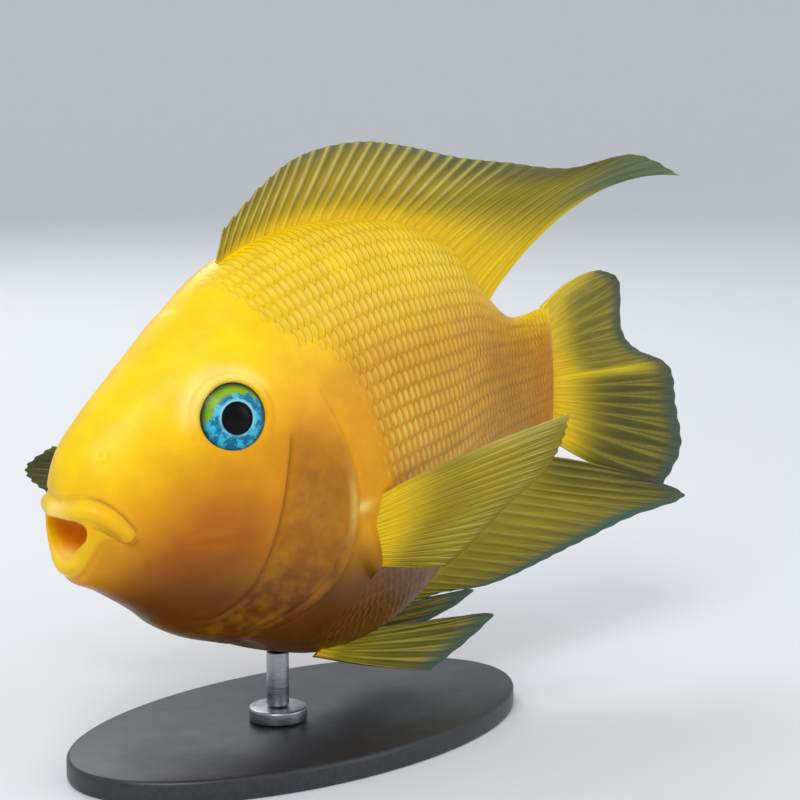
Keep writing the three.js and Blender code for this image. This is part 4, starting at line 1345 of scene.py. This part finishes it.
def build_fin(name, keys, settings, tones, side, rays, spines=0, branch=0.5, wave=0.0, fine=9,
              front_notch=0.0, sheath=1.0):
    """A fin: a grid laid over its fan of rays, thickened more along each ray than between two.

    The first spines are single, and the rays after them fork from branch outward. Each gap between
    two rays is fine steps wide. The edge waves by wave millimetres, is cut in by front_notch between
    the front spines, and sheath scales the fleshy root.
    """
    rows = ray_rows(keys, side)
    across = (rays - 1) * fine + 1
    deselect()
    bpy.ops.mesh.primitive_grid_add(x_subdivisions=across - 1, y_subdivisions=FIN_STEPS, size=2)
    piece = named(name)
    flat = read(piece)
    u, w = (flat[:, 0] + 1) / 2, (flat[:, 1] + 1) / 2
    position = u * (rays - 1)
    nearest = np.rint(position)
    aside = position - nearest
    depth = EDGE_NOTCH + front_notch * smooth(position, 6.5, 1.5)
    out = w * (1 - depth * (1 - np.cos(2 * math.pi * position)) / 2)
    row = blend(rows, u * (len(rows) - 1))
    root, middle, tip = row[:, :3], row[:, 3:6], row[:, 6:]
    f = out[:, None]
    laid = (1 - f) ** 2 * root + 2 * f * (1 - f) * middle + f ** 2 * tip
    # A ray is one ridge, which forks into two and then four on the soft rays and is jointed there
    soft = smooth(nearest, spines - 0.6, spines + 0.6) if spines else np.ones(len(u))
    first = 0.23 * smooth(w, branch, 1.0) * soft
    second = 0.11 * smooth(w, branch + 0.28, 1.05) * soft
    width = (0.15 - 0.075 * w) * (1 - 0.25 * soft * smooth(w, branch, 1))
    twigs = [sign * first + twig * second for sign in (-1, 1) for twig in (-1, 1)]
    ridge = np.max([hill(aside, twig, width) for twig in twigs], axis=0)
    ridge *= 1 - 0.18 * soft * smooth(w, 0.3, 0.5) * (np.cos(w * 260 * (0.8 + 0.02 * nearest)) > 0.72)
    # The web bellies between two rays and the edge waves a little
    later = blend(rows, np.minimum(u + 0.02, 1) * (len(rows) - 1))[:, 6:]
    earlier = blend(rows, np.maximum(u - 0.02, 0) * (len(rows) - 1))[:, 6:]
    facing = np.cross(tip - root, later - earlier)
    facing /= np.maximum(np.linalg.norm(facing, axis=1, keepdims=True), 1e-12)
    ripple = wave * MM * np.sin(u * 2 * math.pi * 2.6 + w * 2.2) * smooth(w, 0.15, 1)
    belly = 0.16 * MM * np.cos(2 * math.pi * position) * smooth(w, 0.05, 0.4) * smooth(w, 1.02, 0.9)
    laid += facing * (ripple + belly)[:, None]
    write(piece, laid)
    ray = settings.ray_root + (settings.ray_tip - settings.ray_root) * w ** 0.8
    web = settings.web_root + (settings.web_tip - settings.web_root) * smooth(w, 0, 0.55)
    distance = np.linalg.norm(laid - root, axis=1)
    thick = web + (ray - web) * ridge + settings.sheath * sheath * hill(distance, 0, SHEATH_REACH)
    # The outer half thins towards its border
    border = np.minimum(np.minimum(w, 1 - w) * 14, np.minimum(u, 1 - u) * across * 0.5 + 0.4)
    thick *= np.where(w > 0.5, np.clip(0.35 + border, 0, 1), 1)
    mark(piece, "along", w)
    mark(piece, "fan", position)
    mark(piece, "ray", ridge)
    strengths = tones(u, w, aside, ridge)
    for tone in FIN_TONES:
        mark(piece, tone + "_tone", np.clip(strengths.get(tone, 0), 0, 1))
    weights = piece.vertex_groups.new(name="thickness")
    greatest = thick.max()
    for part in np.array_split(np.argsort(thick), THICKNESSES):
        weights.add(part.tolist(), float(thick[part].mean() / greatest), "REPLACE")
    modified(
        piece, "SOLIDIFY", thickness=greatest, offset=0, vertex_group="thickness",
        use_even_offset=False, use_quality_normals=True,
    )
    piece.vertex_groups.clear()
    outward(piece)
    return piece


# Eyes and stand


def build_eye(name, side):
    """A domed eye with its iris a little raised round the pupil, and its own UV map."""
    deselect()
    bpy.ops.mesh.primitive_uv_sphere_add(segments=96, ring_count=64, radius=1)
    piece = named(name)
    points = read(piece)
    matrix = eye_matrix(side)
    # Up in the iris map is up in the world, and its left is towards the snout
    up = matrix.to_3x3().inverted() @ Vector((0, 0, 1))
    turn = math.atan2(up.y, up.x)
    across = points[:, 0] * math.sin(turn) - points[:, 1] * math.cos(turn)
    upright = points[:, 0] * math.cos(turn) + points[:, 1] * math.sin(turn)
    ahead = matrix.to_3x3() @ Vector((math.sin(turn), -math.cos(turn), 0))
    if ahead.x > 0:
        across = -across
    lay_uv(piece, "Iris", np.stack([0.5 - across * 0.5, 0.5 + upright * 0.5], axis=-1))
    radius = np.hypot(points[:, 0], points[:, 1])
    dish = 0.05 * hill(radius, 0.5, 0.1) - 0.06 * hill(radius, 0.82, 0.12)
    points[:, 2] += np.where(points[:, 2] > 0, dish, 0)
    size = np.array([EYE["radius"], EYE["radius"], EYE["half"]]) * UNIT
    write(piece, points * size)
    piece.data.transform(matrix)
    return piece


def build_stand(settings):
    """The oval base, the foot and the rod, on the boxes of their solids."""
    made = []
    for name, segments, width in (
        ("stand_base", 160, settings.bevel), ("stand_foot", 96, 0.5 * MM), ("stand_rod", 64, 0.35 * MM)
    ):
        low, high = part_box(name)
        deselect()
        bpy.ops.mesh.primitive_cylinder_add(
            vertices=segments, radius=0.5, depth=1, location=(low + high) / 2, scale=high - low
        )
        made.append(modified(
            named(name + "_finish"), "BEVEL", width=width, segments=4, limit_method="ANGLE",
            angle_limit=math.radians(40),
        ))
    return made


def build_floor(settings):
    """A round floor whose rim grows outward and curls up along a quarter circle."""
    deselect()
    bpy.ops.mesh.primitive_circle_add(vertices=128, radius=FLOOR_RADIUS, fill_type="NGON")
    floor = named("floor")
    edit_all()
    bpy.ops.mesh.inset(thickness=FLOOR_RADIUS / 80)
    bpy.ops.mesh.select_all(action="SELECT")
    bpy.ops.mesh.region_to_loop()
    turns = np.radians(np.linspace(0, 90, 11))
    radius = FLOOR_RADIUS
    for before, after in zip(turns[:-1], turns[1:]):
        rise = FLOOR_CURL * (math.cos(before) - math.cos(after))
        grown = radius + FLOOR_CURL * (math.sin(after) - math.sin(before))
        wider = grown / radius
        bpy.ops.mesh.extrude_region_move(TRANSFORM_OT_translate={"value": (0, 0, rise)})
        bpy.ops.transform.resize(value=(wider, wider, 1), center_override=(0, 0, 0))
        radius = grown
    bpy.ops.object.mode_set(mode="OBJECT")
    bpy.ops.object.shade_smooth()
    made, tree = material("pale floor")
    surfaced(tree, {
        "Base Color": rgba(settings.floor), "Roughness": uneven(tree, 30, 0.7, 0.8),
    })
    floor.data.materials.append(made)
    return floor


def lamp(name, where, size, watts):
    """A round soft light that faces the fish."""
    deselect()
    bpy.ops.object.light_add(type="AREA", location=where)
    made = bpy.context.object
    made.name = name
    made.data.shape = "DISK"
    made.data.size = size
    made.data.energy = watts
    made.rotation_mode = "QUATERNION"
    made.rotation_quaternion = (Vector(where) - CAMERA_TARGET).to_track_quat("Z", "Y")


# Operators


class CICHLID_OT_skin(bpy.types.Operator):
    """One skin over the whole body, with lips, eye rims, gill covers and nostrils"""

    bl_idname = "cichlid.skin"
    bl_label = "Skin"

    def execute(self, context):
        settings = context.scene.cichlid_skin
        markings_and_painted_light_group()
        flesh_group()
        skin = build_skin(settings)
        finished(
            skin, skin_material(settings), "head", "lower_jaw", "gill_cover_left",
            "gill_cover_right", "trunk", "tail_stem", slot="skin",
        )
        return {"FINISHED"}


class CICHLID_OT_scales(bpy.types.Operator):
    """Overlapping scales in arched rows on both sides of the trunk"""

    bl_idname = "cichlid.scales"
    bl_label = "Scales"

    def execute(self, context):
        settings = context.scene.cichlid_scales
        finish = scale_material(settings, context.scene.cichlid_skin)
        random = np.random.default_rng(settings.seed)
        skin = bpy.data.objects["skin"]
        for name, side in SIDES.items():
            piece = build_scales("scales_" + name, side, settings, skin, random)
            finished(piece, finish, slot="skin")
        return {"FINISHED"}


class CICHLID_OT_fins(bpy.types.Operator):
    """All seven fins, with their rays raised in the membrane"""

    bl_idname = "cichlid.fins"
    bl_label = "Fins"

    def execute(self, context):
        settings = context.scene.cichlid_fins
        finish = fin_material(settings)

        def add(name, keys, tones, side=RIGHT, **form):
            piece = build_fin(name + "_finish", keys, settings, tones, side, **form)
            finished(piece, finish, name, slot="fin")

        add(
            "dorsal_fin", midline_rays(DORSAL, 0), dorsal_tones, rays=34, spines=22, wave=0.3,
            front_notch=0.08,
        )
        add("anal_fin", midline_rays(ANAL, 2), anal_tones, rays=22, spines=8, wave=0.3)
        add("caudal_fin", CAUDAL, caudal_tones, rays=20, branch=0.25, wave=0.5, fine=12, sheath=0.6)
        for name, side in SIDES.items():
            # On the far side the pectoral fin is darkened with painted shade
            add(
                "pectoral_fin_" + name, paired_rays(PECTORAL_ROOTS, PECTORAL_TIPS[name]),
                pectoral_tones if side == LEFT else painted_shade_tones, side, rays=19, branch=0.45,
                fine=11, wave=0.2,
            )
            add(
                "pelvic_fin_" + name, paired_rays(PELVIC_ROOTS, PELVIC_TIPS[name]), pelvic_tones,
                side, rays=8, spines=1, branch=0.35, fine=16, sheath=0.7,
            )
        return {"FINISHED"}


class CICHLID_OT_eyes(bpy.types.Operator):
    """Both eyes, with a painted iris under clear gloss"""

    bl_idname = "cichlid.eyes"
    bl_label = "Eyes"

    def execute(self, context):
        finish = eye_material(context.scene.cichlid_eyes)
        for name, side in SIDES.items():
            finished(build_eye("eye_%s_finish" % name, side), finish, "eye_" + name, slot="eye")
        return {"FINISHED"}


class CICHLID_OT_stand(bpy.types.Operator):
    """The painted base with its steel foot and rod"""

    bl_idname = "cichlid.stand"
    bl_label = "Stand"

    def execute(self, context):
        settings = context.scene.cichlid_stand
        base, foot, rod = build_stand(settings)
        steel = steel_material(settings)
        finished(base, paint_material(settings), "stand_base", slot="stand_paint")
        finished(foot, steel, "stand_foot", slot="stand_steel")
        finished(rod, steel, "stand_rod", slot="stand_steel")
        for piece in (base, foot, rod):
            activate(piece)
            bpy.ops.object.shade_smooth_by_angle(angle=math.radians(35))
        return {"FINISHED"}


class CICHLID_OT_stage(bpy.types.Operator):
    """Pale floor that rises to a backdrop all round, soft lights and the camera"""

    bl_idname = "cichlid.stage"
    bl_label = "Stage"

    def execute(self, context):
        settings = context.scene.cichlid_stage
        build_floor(settings)
        for name, (where, size) in LAMPS.items():
            lamp(name, where, size, getattr(settings, name))
        world = bpy.data.worlds.new("studio")
        world.use_nodes = True
        sky = world.node_tree.nodes["Background"].inputs
        sky["Color"].default_value = rgba(SKY)
        sky["Strength"].default_value = SKY_STRENGTH
        context.scene.world = world
        context.scene.view_settings.view_transform = "Standard"
        bpy.ops.object.camera_add(location=CAMERA_TARGET + CAMERA_DIRECTION * CAMERA_DISTANCE)
        camera = bpy.context.object
        camera.rotation_mode = "QUATERNION"
        camera.rotation_quaternion = CAMERA_DIRECTION.to_track_quat("Z", "Y")
        camera.data.sensor_width = 36
        camera.data.lens = CAMERA_LENS
        camera.data.clip_start = 0.01
        context.scene.camera = camera
        return {"FINISHED"}


class CICHLID_PT_panel(bpy.types.Panel):
    """Lists the steps that build the model"""

    bl_label = "Blood parrot cichlid"
    bl_idname = "CICHLID_PT_panel"
    bl_space_type = "VIEW_3D"
    bl_region_type = "UI"
    bl_category = "Cichlid"

    def draw(self, context):
        for step in STEPS:
            self.layout.operator(step.bl_idname)


STEPS = [
    CICHLID_OT_skin, CICHLID_OT_scales, CICHLID_OT_fins, CICHLID_OT_eyes, CICHLID_OT_stand,
    CICHLID_OT_stage,
]
SETTINGS = {
    "cichlid_skin": SkinSettings, "cichlid_scales": ScaleSettings, "cichlid_fins": FinSettings,
    "cichlid_eyes": EyeSettings, "cichlid_stand": StandSettings, "cichlid_stage": StageSettings,
}


def register():
    for name, settings in SETTINGS.items():
        bpy.utils.register_class(settings)
        setattr(bpy.types.Scene, name, PointerProperty(type=settings))
    for step in [*STEPS, CICHLID_PT_panel]:
        bpy.utils.register_class(step)


def unregister():
    for step in [CICHLID_PT_panel, *reversed(STEPS)]:
        bpy.utils.unregister_class(step)
    for name, settings in SETTINGS.items():
        delattr(bpy.types.Scene, name)
        bpy.utils.unregister_class(settings)


def main():
    register()
    for step in STEPS:
        area, action = step.bl_idname.split(".")
        getattr(getattr(bpy.ops, area), action)()


if __name__ == "__main__":
    main()
